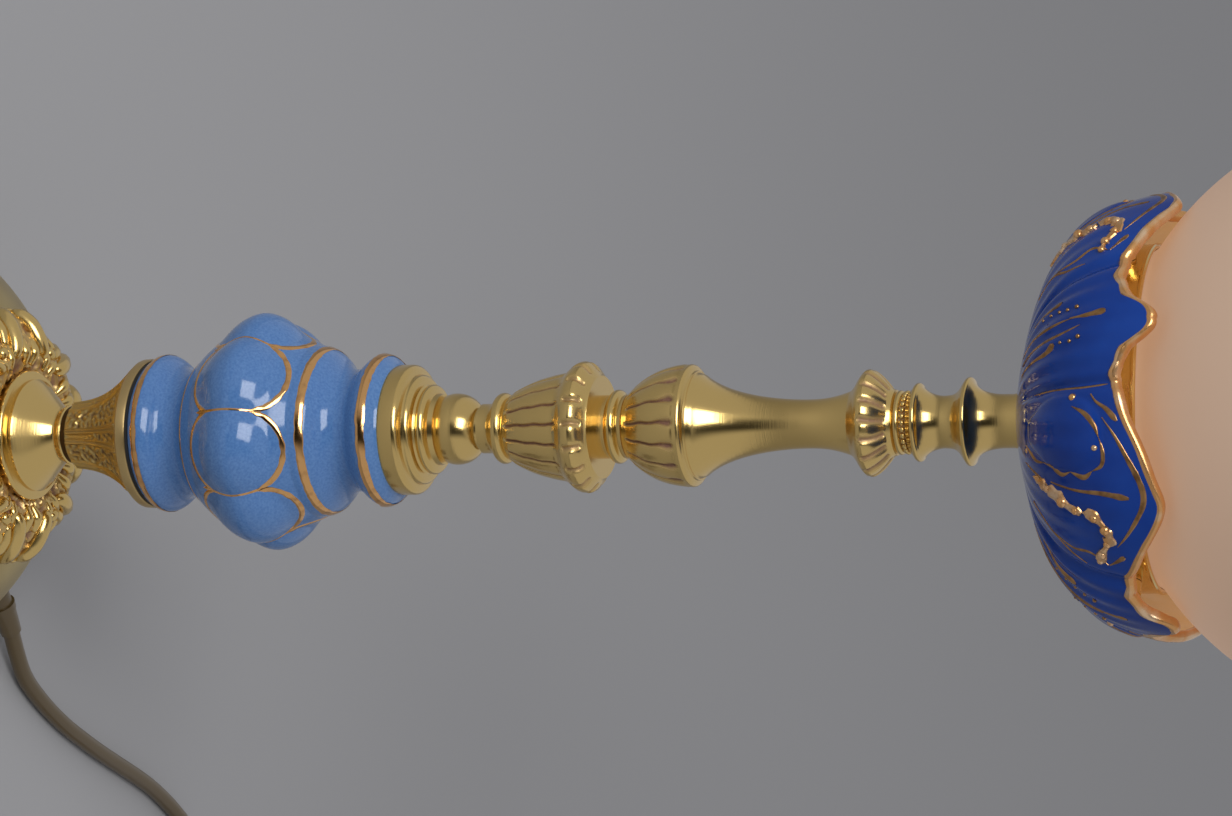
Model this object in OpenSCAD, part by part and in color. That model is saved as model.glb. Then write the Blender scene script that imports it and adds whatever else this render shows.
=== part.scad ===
// Table lamp: turned and cast brass column with a lobed porcelain vase, a porcelain
// petal cup, a brass gallery and a frosted ball globe. The origin is the centre of the
// underside of the foot, +Z runs up the column and -Y is the front.

/* [Foot] */
// Radius of the foot at its rim
foot_r = 73; // [72:0.5:74]
// Height of the flat top of the foot
foot_h = 33; // [32:0.5:34]
// Wall of the spun foot
foot_wall = 1.8; // [1.2:0.1:2.2]
// Thickness of the felt under the foot
felt_h = 1.2; // [1:0.1:1.5]
// Number of scrolls round the cast ornament
scroll_count = 12; // [8:1:16]

/* [Column] */
// Outer radius of the threaded tube through the column
tube_r = 5; // [4.9:0.1:5]
// Inner radius of the threaded tube
tube_bore_r = 4; // [3.5:0.1:4]
// Clearance round the tube in each column piece
tube_gap = 0.3; // [0.2:0.05:0.5]
// Number of reeds on the bell and the bulb, and of flutes on the flower collar
reed_count = 16; // [12:1:20]

/* [Vase] */
// Largest radius of the porcelain vase
vase_r = 39; // [38:0.5:40]
// Number of lobes round the vase
lobe_count = 8; // [6:1:10]
// Angle of the first lobe's centre from +X
lobe_start = -79.5; // [-90:0.5:-60]
// Wall of the porcelain vase
vase_wall = 4; // [3:0.5:5]

/* [Petal cup] */
// Radius of the cup at its rim
cup_r = 67.6; // [66:0.2:69]
// Height of the cup above its seat, at the tallest petal
cup_h = 50; // [48:0.5:51]
// Wall of the porcelain cup
cup_wall = 3.4; // [3:0.1:4]

/* [Globe] */
// Outer radius of the ball globe
globe_r = 90; // [88:0.5:90]
// Outer radius of the globe's neck
globe_neck_r = 49.5; // [49:0.1:49.6]
// Wall of the glass
globe_wall = 3; // [2.5:0.1:3]

/* [Cord] */
// Diameter of the round mains cord
cord_d = 6; // [5.6:0.1:6]
// Angle of the cord's exit from +X towards +Y
exit_angle = 36; // [36:1:36]

/* [Hidden] */

$fn = 96;
eps = 0.01;
bore_r = tube_r + tube_gap;

// Heights of the joins between the column pieces, from the foot upwards.
spool_z = foot_h;
ring_z = 60.6;
neck_z = 62.6;
plate_z = 88;
gasket_z = 92;
vase_z = 93;
cap_z = 179;
knop_z = 194;
collar_z = 207.5;
bell_z = 212.5;
bell_top_z = 247.5;
bulb_z = 256.5;
trumpet_z = 279.6;
flower_z = 329;
beaded_z = 342.6;
bobbin_z = 347.2;
bobbin2_z = 360;
cup_z = 381.6;

// Vase: the lobes are balls round the belly.
lobe_r = 17.6;
lobe_z = 133.5;
lobe_centre_r = vase_r - lobe_r;

// Cup, gallery and globe.
cup_floor = 4;
cup_bottom_r = 12;
gallery_z = 404;
gallery_wall = 1;
gallery_ledge_z = 411.7;
gallery_top_z = 424;
gallery_r = globe_neck_r + 1.3 + gallery_wall;
running_gap = 0.3;
globe_neck_z = gallery_ledge_z + running_gap;
globe_split_z = globe_neck_z + 12.5;
globe_z = globe_neck_z + 87;
screw_angles = [90, 210, 330];
screw_z = 418;
screw_r = 1.5;
screw_tip_r = globe_neck_r + running_gap;
boss_r = 3;
boss_end_r = 54;

// Lampholder and bulb, screw size E27.
nut_z = gallery_z + gallery_wall;
holder_z = 410;
holder_r = 20.5;
liner_r = 14.6;
liner_wall = 1;
bulb_z0 = 431.4;
bulb_cap_r = 13.2;
bulb_glass_r = 30;

// Inner end of the cord, and the places where the cord leaves the foot.
cord_r = cord_d / 2;
exit_z = 7;
bend_r = 12;
bush_r = 4.5;
bush_in_r = 62;
flange_in_r = 73.2;
bush_out_r = 86;

// Coil of spare cord: its centre, and the turns from the outside inwards and back.
coil_x = 248;
coil_y = -10;
coil_outer_r = 45;
coil_inner_r = 27;
coil_z = 0.8;
coil_top_z = 17.2;

// Switch on the cord.
switch_x = 206;
switch_y = 136;
switch_w = 28;
switch_l = 60;
switch_base_h = 8;
switch_cord_z = 6;
rocker_z = 13.5;
rocker_tilt = 10;

// Plug.
plug_x = 262;
plug_z = 19;
plug_y = 122;
plug_r = 18.5;

// The cord's own points on the table, from the bush to the coil.
cord_points = [[69.6, 50.5, 7], [78.5, 57, 5.6], [88, 66.2, 3.8], [98, 80, 3.1], [107, 95, 3],
    [114, 109, 3], [120, 122, 3], [126, 136, 3], [131.5, 149, 3], [137, 161, 3],
    [143, 172, 3], [150, 183, 3], [158, 193, 3], [168, 199.5, 3], [180, 201.5, 3],
    [192, 197.5, 3], [201, 189, 3.2], [205.5, 178, 4.6], [206, 168, 6], [206, 152, 6],
    [206, 136, 6], [206, 120, 6], [206, 104, 6], [206, 92, 5], [206, 80, 3.6], [206, 66, 3],
    [206, 36, 3], [206, 20, 3.3], [206, 6, 3.8]];
// The cord's end, from the top of the coil to the plug.
tail_points = [[277, 11.5, 14.4], [271, 22, 12], [265.5, 34, 7], [262.5, 48, 3.6],
    [262, 60, 3], [262, 72, 3.6], [262, 84, 7], [262, 94, 13], [262, 102, 17.5],
    [262, 112, 19]];

// Points on an arc about c, from angle a0 to a1.
function arc(c, r, a0, a1, n = 8) =
    [for (i = [0:n]) let (a = a0 + (a1 - a0) * i / n) c + r * [cos(a), sin(a)]];
// Points on a cubic curve, without its first point.
function bow(p0, p1, p2, p3, n = 8) = [for (i = [1:n]) cubic(p0, p1, p2, p3, i / n)];
function cubic(p0, p1, p2, p3, t) =
    pow(1 - t, 3) * p0 + 3 * pow(1 - t, 2) * t * p1 + 3 * (1 - t) * t * t * p2 + pow(t, 3) * p3;
function flip(points) = [for (i = [len(points) - 1:-1:0]) points[i]];
function unit(v) = v / norm(v);

// A turned piece with the tube's clearance bore; the outline runs from bottom to top.
module turned(outline, bore = bore_r) {
    first = outline[0];
    last = outline[len(outline) - 1];
    rotate_extrude() polygon(concat([[bore, first[1]]], outline, [[bore, last[1]]]));
}

// A turned piece with narrow slots cut along it, so that reeds stand between them.
module reeded(outline, slots, depth, width, count) {
    low = slots[0][1] + 0.25;
    high = slots[len(slots) - 1][1] - 0.25;
    inner = [for (p = slots) [p[0] - depth, min(max(p[1], low), high)]];
    outer = [for (p = flip(slots)) [p[0] + 3, min(max(p[1], low), high)]];
    difference() {
        turned(outline);
        for (i = [0:count - 1])
            rotate([0, 0, (i + 0.5) * 360 / count])
                rotate([90, 0, 0])
                    translate([0, 0, -width / 2])
                        linear_extrude(width) polygon(concat(inner, outer));
    }
}

// A round cord through points, closed at both ends.
module swept(points, r, sides = 8) {
    last = len(points) - 1;
    rings = [for (i = [0:last])
        let (
            along = unit(points[min(i + 1, last)] - points[max(i - 1, 0)]),
            side = unit(cross(along, [0, 0, 1])),
            up = cross(side, along))
        [for (j = [0:sides - 1])
            let (a = 360 * (j + 0.5) / sides) points[i] + r * (cos(a) * side + sin(a) * up)]];
    verts = [for (ring = rings) each ring];
    walls = [for (i = [0:last - 1]) for (j = [0:sides - 1])
        let (k = (j + 1) % sides)
        each [[i * sides + j, i * sides + k, (i + 1) * sides + k],
            [i * sides + j, (i + 1) * sides + k, (i + 1) * sides + j]]];
    low_cap = [for (j = [sides - 1:-1:0]) j];
    high_cap = [for (j = [0:sides - 1]) last * sides + j];
    polyhedron(verts, concat(walls, [low_cap, high_cap]));
}

module rounded_plate(w, l, r) {
    square([w - 2 * r, l], center = true);
    square([w, l - 2 * r], center = true);
    for (x = [-1, 1], y = [-1, 1])
        translate([x * (w / 2 - r), y * (l / 2 - r)]) circle(r, $fn = 32);
}

// A cylinder along the cord's exit direction, from one radius to another.
module exit_cylinder(r0, r1, from, to, z = exit_z) {
    rotate([0, 0, exit_angle])
        translate([from, 0, z])
            rotate([0, 90, 0]) cylinder(r1 = r0, r2 = r1, h = to - from, $fn = 48);
}

// Outline of the foot's outside, from the rim to the flat top.
foot_curve = concat([[foot_r - 0.6, felt_h], [foot_r, felt_h + 1], [foot_r, 3]],
    bow([foot_r, 3], [67.6, 11.5], [56.5, 27], [42.3, foot_h]));

module felt_pad() {
    color("darkolivegreen") cylinder(r = foot_r - 2, h = felt_h);
}

module base_foot() {
    inside = [for (p = flip(foot_curve)) [p[0] - foot_wall * 1.1, max(p[1] - foot_wall * 0.8, felt_h)]];
    color("gold") difference() {
        rotate_extrude()
            polygon(concat([[bore_r, foot_h - foot_wall]], [[40, foot_h - foot_wall]], inside,
                foot_curve, [[bore_r, foot_h]]));
        exit_cylinder(bush_r, bush_r, 50, 90);
    }
}

// A cast weight with a slot for the cord and a well for the nut.
module base_weight() {
    color("dimgray") difference() {
        rotate_extrude()
            polygon([[bore_r, 28], [16, 28], [16, 4], [58, 4], [58, 13], [55, 16], [24, 16],
                [24, foot_h - foot_wall], [bore_r, foot_h - foot_wall]]);
        rotate([0, 0, exit_angle]) translate([14, -4, 3]) cube([50, 8, 7.4]);
        rotate([0, 0, exit_angle]) for (y = [-1, 1])
            translate([36, y * 8.5, 3]) cylinder(r = 1.6, h = 9, $fn = 24);
    }
}

module base_washer() {
    color("silver") translate([0, 0, 26.5]) difference() {
        cylinder(r = 12, h = 1.5);
        translate([0, 0, -1]) cylinder(r = bore_r, h = 4);
    }
}

module base_nut() {
    color("goldenrod") translate([0, 0, 21.5]) difference() {
        cylinder(r = 8.1, h = 5, $fn = 6);
        translate([0, 0, -1]) cylinder(r = tube_r, h = 8);
    }
}

// Saddle that grips the cord in the weight's slot.
module cord_saddle() {
    color("ivory") rotate([0, 0, exit_angle]) translate([36, 0, 2.6]) difference() {
        translate([-4, -12, 0]) cube([8, 24, 1.4]);
        for (y = [-1, 1])
            translate([0, y * 8.5, -1]) cylinder(r = 1.6, h = 4, $fn = 24);
    }
}

module saddle_screws() {
    color("silver") rotate([0, 0, exit_angle]) for (y = [-1, 1])
        translate([36, y * 8.5, 1.4]) {
            cylinder(r = 3, h = 1.2, $fn = 32);
            cylinder(r = 1.6, h = 10, $fn = 24);
        }
}

// Bush in the foot's wall and the tapered strain relief outside it.
module cord_bush() {
    color("darkkhaki") difference() {
        union() {
            exit_cylinder(bush_r, bush_r, bush_in_r, flange_in_r);
            exit_cylinder(bush_r + 0.8, bush_r + 0.5, flange_in_r, flange_in_r + 2.8);
            exit_cylinder(bush_r + 0.2, cord_r + 0.7, flange_in_r + 2.8, bush_out_r);
        }
        exit_cylinder(cord_r, cord_r, 50, 90);
    }
}

// Cast ring of scrolls and leaves on the foot's flat top.
module base_ornament() {
    color("gold") union() {
        turned(concat([[40, foot_h]], bow([40, foot_h], [41.5, 37.5], [35, 42], [31, 43.4], 6),
            arc([28, 41.8], 3, 30, 150, 6), [[22.4, 41.5], [21.6, foot_h + 1]]), 21.6);
        for (i = [0:scroll_count - 1]) rotate([0, 0, (i + 0.5) * 360 / scroll_count]) {
            translate([29.5, 0, 41.6]) sphere(4.2, $fn = 24);
            translate([37, 0, 37.4]) sphere(4.2, $fn = 24);
        }
    }
}

module foot_spool() {
    color("gold") turned(concat([[21, spool_z], [21, 44]], arc([20.6, 45.2], 1.2, -60, 90, 5),
        [[19.4, 46.8], [19.2, 47.6]], bow([19.2, 47.6], [17.6, 52.6], [9.6, 52.4], [8.8, 58.6]),
        [[9.4, 59.4], [9.5, ring_z]]));
}

module neck_ring() {
    color("saddlebrown") turned([[9.2, ring_z], [9.2, neck_z]]);
}

// Cast neck with twelve upright ribs between bark panels.
module leaf_neck() {
    leaf = concat([[10.2, neck_z]], bow([10.4, neck_z + 0.6], [11.4, 70], [11.8, 77], [15.6, 83.5]),
        [[19, plate_z]]);
    ribs = [for (p = leaf) [p[0] + 0.5, p[1]]];
    color("darkgoldenrod") union() {
        turned(leaf);
        for (i = [0:5], side = [-1, 1]) rotate([0, 0, -90 + i * 60 + side * 9])
            rotate([90, 0, 0]) translate([0, 0, -0.5])
                linear_extrude(1) polygon(concat([[bore_r + 2, neck_z]], ribs, [[bore_r + 2, plate_z]]));
    }
}

module vase_plate() {
    color("goldenrod") turned(concat([[19, plate_z], [23.6, plate_z + 0.3]],
        [[24.6, plate_z + 1.2], [24.6, gasket_z]]));
}

module vase_gasket() {
    color("black") turned([[24, gasket_z], [24, vase_z]]);
}

// Outline of the vase between and beyond its lobes.
vase_curve = concat([[23.6, vase_z], [24.8, vase_z + 1]],
    bow([24.8, vase_z + 1], [26.4, 96], [26.2, 98], [22.4, 101.4]),
    bow([22.4, 101.4], [19.6, 103.8], [19.6, 107], [22.6, 110]),
    bow([22.6, 110], [31, 118], [34, 124], [34.2, 133.5]),
    bow([34.2, 133.5], [34, 141], [31, 145], [27.8, 151]),
    bow([27.8, 151], [27.6, 155.5], [25.6, 157], [22.8, 159]),
    bow([22.8, 159], [18.6, 162], [18.8, 165.5], [20.4, 168]),
    bow([20.4, 168], [23.4, 171.5], [25.8, 173.6], [23.4, 176.4]),
    [[20.4, cap_z]]);

module vase() {
    color("cornflowerblue") difference() {
        union() {
            turned(vase_curve, 8);
            for (i = [0:lobe_count - 1]) rotate([0, 0, lobe_start + i * 360 / lobe_count])
                translate([lobe_centre_r, 0, lobe_z]) sphere(lobe_r, $fn = 64);
        }
        turned(concat([[20 - vase_wall, vase_z + 5], [17, 100]],
            bow([17, 100], [16, 112], [30, 120], [30, 133.5], 6),
            bow([30, 133.5], [30, 144], [17, 152], [16, 164], 6), [[16, cap_z - 5]]), 0);
        translate([0, 0, vase_z - 1]) cylinder(r = 8, h = 100);
    }
}

module vase_cap() {
    color("gold") turned(concat([[20.7, cap_z], [20.7, 183.4]], arc([18.6, 183.6], 2.1, 0, 90, 5),
        [[17.6, 186.1]], arc([15.6, 186.6], 1.8, 0, 90, 5), [[14, 188.8]],
        arc([12.6, 190.6], 1.6, -50, 90, 5), [[11.4, 192.6], [11.2, knop_z]]));
}

module ball_knop() {
    color("gold") turned(concat([[10.4, knop_z]], arc([2.6, 198.6], 8.8, -28, 62, 10),
        [[6.8, collar_z]]));
}

module neck_collar() {
    color("goldenrod") turned([[7.9, collar_z], [7.9, 210.2], [8.4, bell_z]]);
}

bell_reeds = concat([[10.8, 217.6]], bow([10.8, 217.6], [13, 222.5], [15.4, 226], [17.2, 236.4], 6));

module reeded_bell() {
    color("gold") reeded(concat([[8.6, bell_z]], arc([9.2, bell_z + 2.2], 2, -70, 70, 6), [[10.6, 217.2]],
        bell_reeds, arc([18.4, 241.6], 3, -80, 40, 5), [[17.4, 246.2], [16.6, bell_top_z]]),
        bell_reeds, 0.9, 0.9, reed_count);
}

module bell_collar() {
    color("goldenrod") turned(concat([[10, bell_top_z], [10, 250.8]], arc([9.9, 253], 1.7, -80, 80, 6),
        [[9.8, 255.2], [9.8, bulb_z]]));
}

bulb_reeds = concat([[10.6, bulb_z + 0.4]], bow([10.6, bulb_z + 0.4], [14.6, 262], [18.6, 267], [19, 276.8]));

module reeded_bulb() {
    color("gold") reeded(concat([[10, bulb_z]], bulb_reeds, [[19.2, 277.2], [19, 278.2], [18, trumpet_z]]),
        bulb_reeds, 0.9, 0.9, reed_count);
}

module trumpet_stem() {
    color("gold") turned(concat([[17, trumpet_z], [16, 281.2]],
        bow([16, 281.2], [12, 286], [8.6, 295], [7.7, 310], 12),
        bow([7.7, 310], [7.4, 317], [7.6, 323], [10.2, flower_z])));
}

flower_flutes = bow([16.4, 334.6], [15.6, 337.4], [13, 339.4], [10.4, 341.6], 6);

module flower_collar() {
    color("gold") reeded(concat([[10.4, flower_z], [13.6, 331.6], [16.2, 333.6], [16.4, 334.6]],
        flower_flutes, [[10, beaded_z]]), flower_flutes, 0.8, 1, reed_count);
}

module beaded_ring() {
    color("gold") union() {
        turned(concat([[9, beaded_z]], arc([8.6, 344], 1.2, -60, 60, 5), [[8.8, 345.2], [8.8, 346.8],
            [8.4, bobbin_z]]));
        for (i = [0:27]) rotate([0, 0, i * 360 / 28]) translate([8.6, 0, 346]) sphere(0.9, $fn = 16);
    }
}

module lower_bobbin() {
    color("gold") turned(concat([[9.6, bobbin_z]], arc([11.2, 349.6], 0.9, -70, 80, 5),
        bow([11.2, 350.5], [8.8, 352.6], [8, 355], [8, 357.6], 6), [[8.3, bobbin2_z]]));
}

module upper_bobbin() {
    color("gold") turned(concat([[8.3, bobbin2_z]],
        bow([8.3, bobbin2_z], [9, 362.4], [11.6, 363.4], [12.8, 364.4], 5),
        arc([12.7, 365.4], 0.9, -60, 90, 5), bow([12.7, 366.3], [9.4, 367.6], [8.4, 371], [8.2, 375], 6),
        [[8.2, 379], [8.6, cup_z]]));
}

// Height of the cup's wavy rim at an angle from the front: four wide and four narrow petals.
function ripple(a, from, to, low, high) =
    let (t = (a - from) / (to - from)) low + (high - low) * pow(sin(180 * t), 0.8);
function rim_z(angle) =
    let (a = (angle + 40) - 90 * floor((angle + 40) / 90))
    a < 31 ? ripple(a, 0, 31, 420, cup_z + cup_h - 1.6) : ripple(a, 31, 90, 420, cup_z + cup_h);
// A point of the cup's outside at height fraction u, in the plane through the axis.
function cup_point(u) = cubic([cup_bottom_r, cup_z], [40, cup_z + 6.9], [66, cup_z + 12.4],
    [cup_r, cup_z + cup_h], u);

module petal_cup() {
    columns = 72;
    rows = 12;
    top = [for (j = [0:columns - 1]) rim_z(j * 360 / columns + 90)];
    // The fraction of the curve at which it reaches a height.
    function reach(z) = lookup(z, [for (i = [1:40]) [cup_point(i / 40)[1], i / 40]]);
    outer = [for (i = [0:rows]) for (j = [0:columns - 1])
        let (
            u = 0.001 + (reach(top[j]) - 0.001) * pow(i / rows, 0.8),
            p = cup_point(u),
            a = j * 360 / columns)
        [p[0] * cos(a), p[0] * sin(a), p[1]]];
    inner = [for (i = [0:rows]) for (j = [0:columns - 1])
        let (
            u = 0.001 + (reach(top[j]) - 0.001) * pow(i / rows, 0.8),
            p = cup_point(u),
            q = cup_point(u + 0.01),
            n = unit([p[1] - q[1], q[0] - p[0]]),
            s = p + n * cup_wall * (i == rows ? 0.7 : 1),
            a = j * 360 / columns)
        [s[0] * cos(a), s[0] * sin(a), i == 0 ? cup_z + cup_floor : max(s[1], cup_z + cup_floor)]];
    ring = columns;
    shift = (rows + 1) * columns;
    outer_faces = [for (i = [0:rows - 1]) for (j = [0:columns - 1])
        let (k = (j + 1) % columns)
        each [[i * ring + j, (i + 1) * ring + j, (i + 1) * ring + k],
            [i * ring + j, (i + 1) * ring + k, i * ring + k]]];
    inner_faces = [for (f = outer_faces) [for (v = flip(f)) v + shift]];
    lip = [for (j = [0:columns - 1])
        let (k = (j + 1) % columns, t = rows * ring)
        each [[t + j, t + shift + j, t + shift + k], [t + j, t + shift + k, t + k]]];
    low_cap = [for (j = [0:columns - 1]) j];
    high_cap = [for (j = [columns - 1:-1:0]) shift + j];
    color("royalblue") difference() {
        polyhedron(concat(outer, inner), concat(outer_faces, inner_faces, lip, [low_cap, high_cap]));
        translate([0, 0, cup_z - 1]) cylinder(r = bore_r, h = 10);
    }
}

module cup_washer() {
    color("goldenrod") turned([[10, cup_z + cup_floor], [10, cup_z + cup_floor + 1.5]]);
}

module gallery_spacer() {
    color("goldenrod") turned([[8, cup_z + cup_floor + 1.5], [8, gallery_z]]);
}

// Shallow spun dish that holds the globe's neck, with three bosses for its screws.
module gallery() {
    t = gallery_wall;
    color("gold") difference() {
        union() {
            rotate_extrude() polygon(concat([[bore_r, gallery_z], [28, gallery_z],
                [44, gallery_ledge_z - t], [gallery_r, gallery_ledge_z - t],
                [gallery_r, gallery_top_z - 1]],
                arc([gallery_r - t / 2, gallery_top_z - 0.9], 0.9, -50, 230, 8),
                [[gallery_r - t, gallery_ledge_z], [43.6, gallery_ledge_z],
                [27.6, gallery_z + t], [bore_r, gallery_z + t]]));
            for (a = screw_angles) rotate([0, 0, a]) translate([gallery_r - 0.5, 0, screw_z])
                rotate([0, 90, 0]) cylinder(r = boss_r, h = boss_end_r - gallery_r + 0.5, $fn = 32);
        }
        for (a = screw_angles) rotate([0, 0, a]) translate([40, 0, screw_z])
            rotate([0, 90, 0]) cylinder(r = screw_r + running_gap, h = 20, $fn = 32);
    }
}

module gallery_nut() {
    color("goldenrod") translate([0, 0, nut_z]) difference() {
        cylinder(r = 9, h = holder_z - nut_z, $fn = 6);
        translate([0, 0, -1]) cylinder(r = tube_r, h = 10);
    }
}

module threaded_tube() {
    color("darkgoldenrod") translate([0, 0, 20]) difference() {
        cylinder(r = tube_r, h = 394);
        translate([0, 0, -1]) cylinder(r = tube_bore_r, h = 400);
    }
}

// The cord inside the lamp: in from the bush, round a bend and up the tube.
module inner_cord() {
    color("tan") union() {
        exit_cylinder(cord_r, cord_r, bend_r - eps, bush_out_r);
        rotate([0, 0, exit_angle]) translate([bend_r, 0, exit_z + bend_r])
            rotate([90, 0, 0]) rotate([0, 0, 180])
                rotate_extrude(angle = 90) translate([bend_r, 0]) circle(cord_r, $fn = 32);
        translate([0, 0, exit_z + bend_r - eps]) cylinder(r = cord_r, h = 399, $fn = 48);
    }
}

module lampholder_base() {
    color("gold") rotate_extrude() polygon(concat([[bore_r, holder_z], [12, holder_z]],
        bow([12, holder_z], [17, holder_z + 1], [20.5, holder_z + 4], [holder_r, 424], 6),
        [[18.5, 424], [18.5, 419], [10, 413.5], [bore_r, 413.5]]));
}

module lampholder_sleeve() {
    color("ivory") rotate_extrude() polygon([[liner_r, 424], [holder_r, 424], [holder_r, 452],
        [19.6, 453.5], [liner_r, 453.5]]);
}

module lampholder_insulator() {
    color("white") rotate_extrude() polygon([[3.6, 422], [18.5, 422], [18.5, 424], [liner_r, 424],
        [liner_r, 430], [3.6, 430]]);
}

// Metal liner that the bulb screws into.
module lampholder_liner() {
    color("silver") rotate_extrude() polygon([[liner_r - liner_wall, 430], [liner_r, 430],
        [liner_r, 452], [liner_r - liner_wall, 452]]);
}

module lampholder_contact() {
    color("silver") union() {
        translate([0, 0, 430]) cylinder(r = 3.6, h = 1);
        translate([0, 0, 424]) cylinder(r = 3.6, h = 6.5);
    }
}

// Screw cap of the bulb with a rounded thread.
module bulb_cap() {
    pitch = 3.6;
    color("silver") rotate_extrude() polygon(concat([[0, bulb_z0], [4, bulb_z0], [8, bulb_z0 + 2]],
        [for (i = [0:24]) let (h = i / 4) [bulb_cap_r - 0.7 + 0.7 * sin(360 * h - 90),
            bulb_z0 + 3 + h * pitch]],
        [[bulb_cap_r - 0.4, bulb_z0 + 26], [0, bulb_z0 + 26]]));
}

module bulb_glass() {
    color("white") rotate_extrude() polygon(concat([[0, bulb_z0 + 26], [12.6, bulb_z0 + 26]],
        bow([12.6, bulb_z0 + 26], [15, bulb_z0 + 42], [bulb_glass_r, bulb_z0 + 48],
            [bulb_glass_r, bulb_z0 + 74], 8),
        arc([0, bulb_z0 + 74], bulb_glass_r, 8, 90, 10)));
}

// The globe's glass is one piece; its straight neck is a node of its own.
module globe() {
    below = globe_z - globe_r - 1;
    color("linen") difference() {
        translate([0, 0, globe_z]) sphere(globe_r);
        translate([0, 0, globe_z]) sphere(globe_r - globe_wall);
        translate([0, 0, below]) cylinder(r = globe_neck_r - globe_wall, h = 30);
        translate([0, 0, below]) cylinder(r = globe_neck_r + 10, h = globe_split_z - below);
    }
}

module globe_neck() {
    color("linen") translate([0, 0, globe_neck_z]) difference() {
        cylinder(r = globe_neck_r, h = globe_split_z - globe_neck_z);
        translate([0, 0, -1]) cylinder(r = globe_neck_r - globe_wall, h = 20);
    }
}

// Thumb screw: its tip nearly touches the globe's neck and its head is a milled disc.
module gallery_screw(angle) {
    head_in_r = boss_end_r + running_gap;
    color("goldenrod") rotate([0, 0, angle]) translate([0, 0, screw_z]) rotate([0, 90, 0]) {
        translate([0, 0, screw_tip_r]) cylinder(r = screw_r, h = 7, $fn = 32);
        translate([0, 0, head_in_r]) cylinder(r = 3, h = 3.6, $fn = 32);
    }
}

module gallery_screw_1() { gallery_screw(screw_angles[0]); }
module gallery_screw_2() { gallery_screw(screw_angles[1]); }
module gallery_screw_3() { gallery_screw(screw_angles[2]); }

module cord() { color("darkkhaki") swept(cord_points, cord_r); }
module cord_tail() { color("darkkhaki") swept(tail_points, cord_r); }

// Outer shape of the six turns of spare cord.
module cord_coil() {
    color("darkkhaki") translate([coil_x, coil_y, 0]) rotate_extrude()
        polygon([[coil_inner_r + 3, coil_z], [coil_outer_r - 3, coil_z], [coil_outer_r, coil_z + 3],
            [coil_outer_r, coil_z + 6], [coil_outer_r - 8, coil_top_z], [coil_inner_r + 8, coil_top_z],
            [coil_inner_r, coil_z + 6], [coil_inner_r, coil_z + 3]]);
}

// Two straps round the coil, open in the middle where the cord lies.
module cord_ties() {
    color("black") translate([coil_x, coil_y, 0]) for (a = [110, 290]) rotate([0, 0, a])
        rotate([90, 0, 0]) translate([0, 0, -5]) linear_extrude(10) difference() {
            polygon([[25.8, 0], [46.2, 0], [46.2, 8], [37.5, coil_top_z + 0.8],
                [34.5, coil_top_z + 0.8], [25.8, 8]]);
            polygon([[coil_inner_r - 0.4, coil_z], [coil_outer_r + 0.4, coil_z],
                [coil_outer_r + 0.4, coil_z + 6.8], [37.2, coil_top_z], [34.8, coil_top_z],
                [coil_inner_r - 0.4, coil_z + 6.8]]);
        }
}

module switch_base() {
    color("ivory") translate([switch_x, switch_y, 0]) difference() {
        linear_extrude(switch_base_h) rounded_plate(switch_w, switch_l, 6);
        translate([0, 40, switch_cord_z]) rotate([90, 0, 0]) cylinder(r = cord_r, h = 80, $fn = 48);
        translate([-cord_r, -40, switch_cord_z]) cube([cord_d, 80, 5]);
        for (y = [-1, 1]) translate([0, y * 22, -1]) translate([9, 0, 0]) {
            cylinder(r = 2.6, h = 3, $fn = 24);
            cylinder(r = 1.3, h = 12, $fn = 24);
        }
    }
}

module switch_cover() {
    color("ivory") translate([switch_x, switch_y, 0]) difference() {
        union() {
            translate([0, 0, switch_base_h]) linear_extrude(6.5) rounded_plate(switch_w, switch_l, 6);
            translate([0, 0, switch_base_h + 6.5])
                linear_extrude(3) rounded_plate(switch_w - 4, switch_l - 4, 5);
        }
        translate([-cord_r, -40, switch_base_h - 1]) cube([cord_d, 80, 2.2]);
        translate([-6.5, -10.6, switch_base_h - 1]) cube([13, 21.2, 12]);
        translate([-9, 0, rocker_z]) rotate([0, 90, 0]) cylinder(r = 1.5, h = 18, $fn = 24);
        for (y = [-1, 1]) translate([9, y * 22, switch_base_h - 1]) cylinder(r = 1.3, h = 5, $fn = 24);
    }
}

module switch_rocker() {
    color("saddlebrown") translate([switch_x, switch_y, rocker_z]) rotate([rocker_tilt, 0, 0]) union() {
        rotate([90, 0, 90]) translate([0, 0, -6]) linear_extrude(12)
            polygon([[-9, -2], [9, -2], [9, 4.6], [0, 3.2], [-9, 4.6]]);
        translate([-8, 0, 0]) rotate([0, 90, 0]) cylinder(r = 1.2, h = 16, $fn = 24);
    }
}

module switch_screws() {
    color("silver") translate([switch_x + 9, switch_y, 0]) for (y = [-1, 1]) translate([0, y * 22, 0.6]) {
        cylinder(r = 2.6, h = 1.4, $fn = 24);
        cylinder(r = 1.3, h = 10, $fn = 24);
    }
}

// Straight two-pin plug lying on its side, pointing along +Y.
module plug_body() {
    color("ivory") translate([plug_x, plug_y, plug_z]) rotate([-90, 0, 0]) difference() {
        rotate_extrude() polygon(concat([[cord_r, 0], [8.5, 0]],
            bow([8.5, 0], [10.5, 6], [17, 4], [17.6, 12]),
            [[plug_r, 16], [plug_r, 32], [17.5, 33], [cord_r, 33]]));
        for (x = [-1, 1]) translate([x * 9.5, 0, 20]) cylinder(r = 2.4, h = 20, $fn = 32);
    }
}

module plug_collar() {
    color("ivory") translate([plug_x, plug_y - 22, plug_z]) rotate([-90, 0, 0]) difference() {
        cylinder(r1 = 3.8, r2 = 6.5, h = 22, $fn = 48);
        translate([0, 0, -1]) cylinder(r = cord_r, h = 30, $fn = 48);
    }
}

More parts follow.
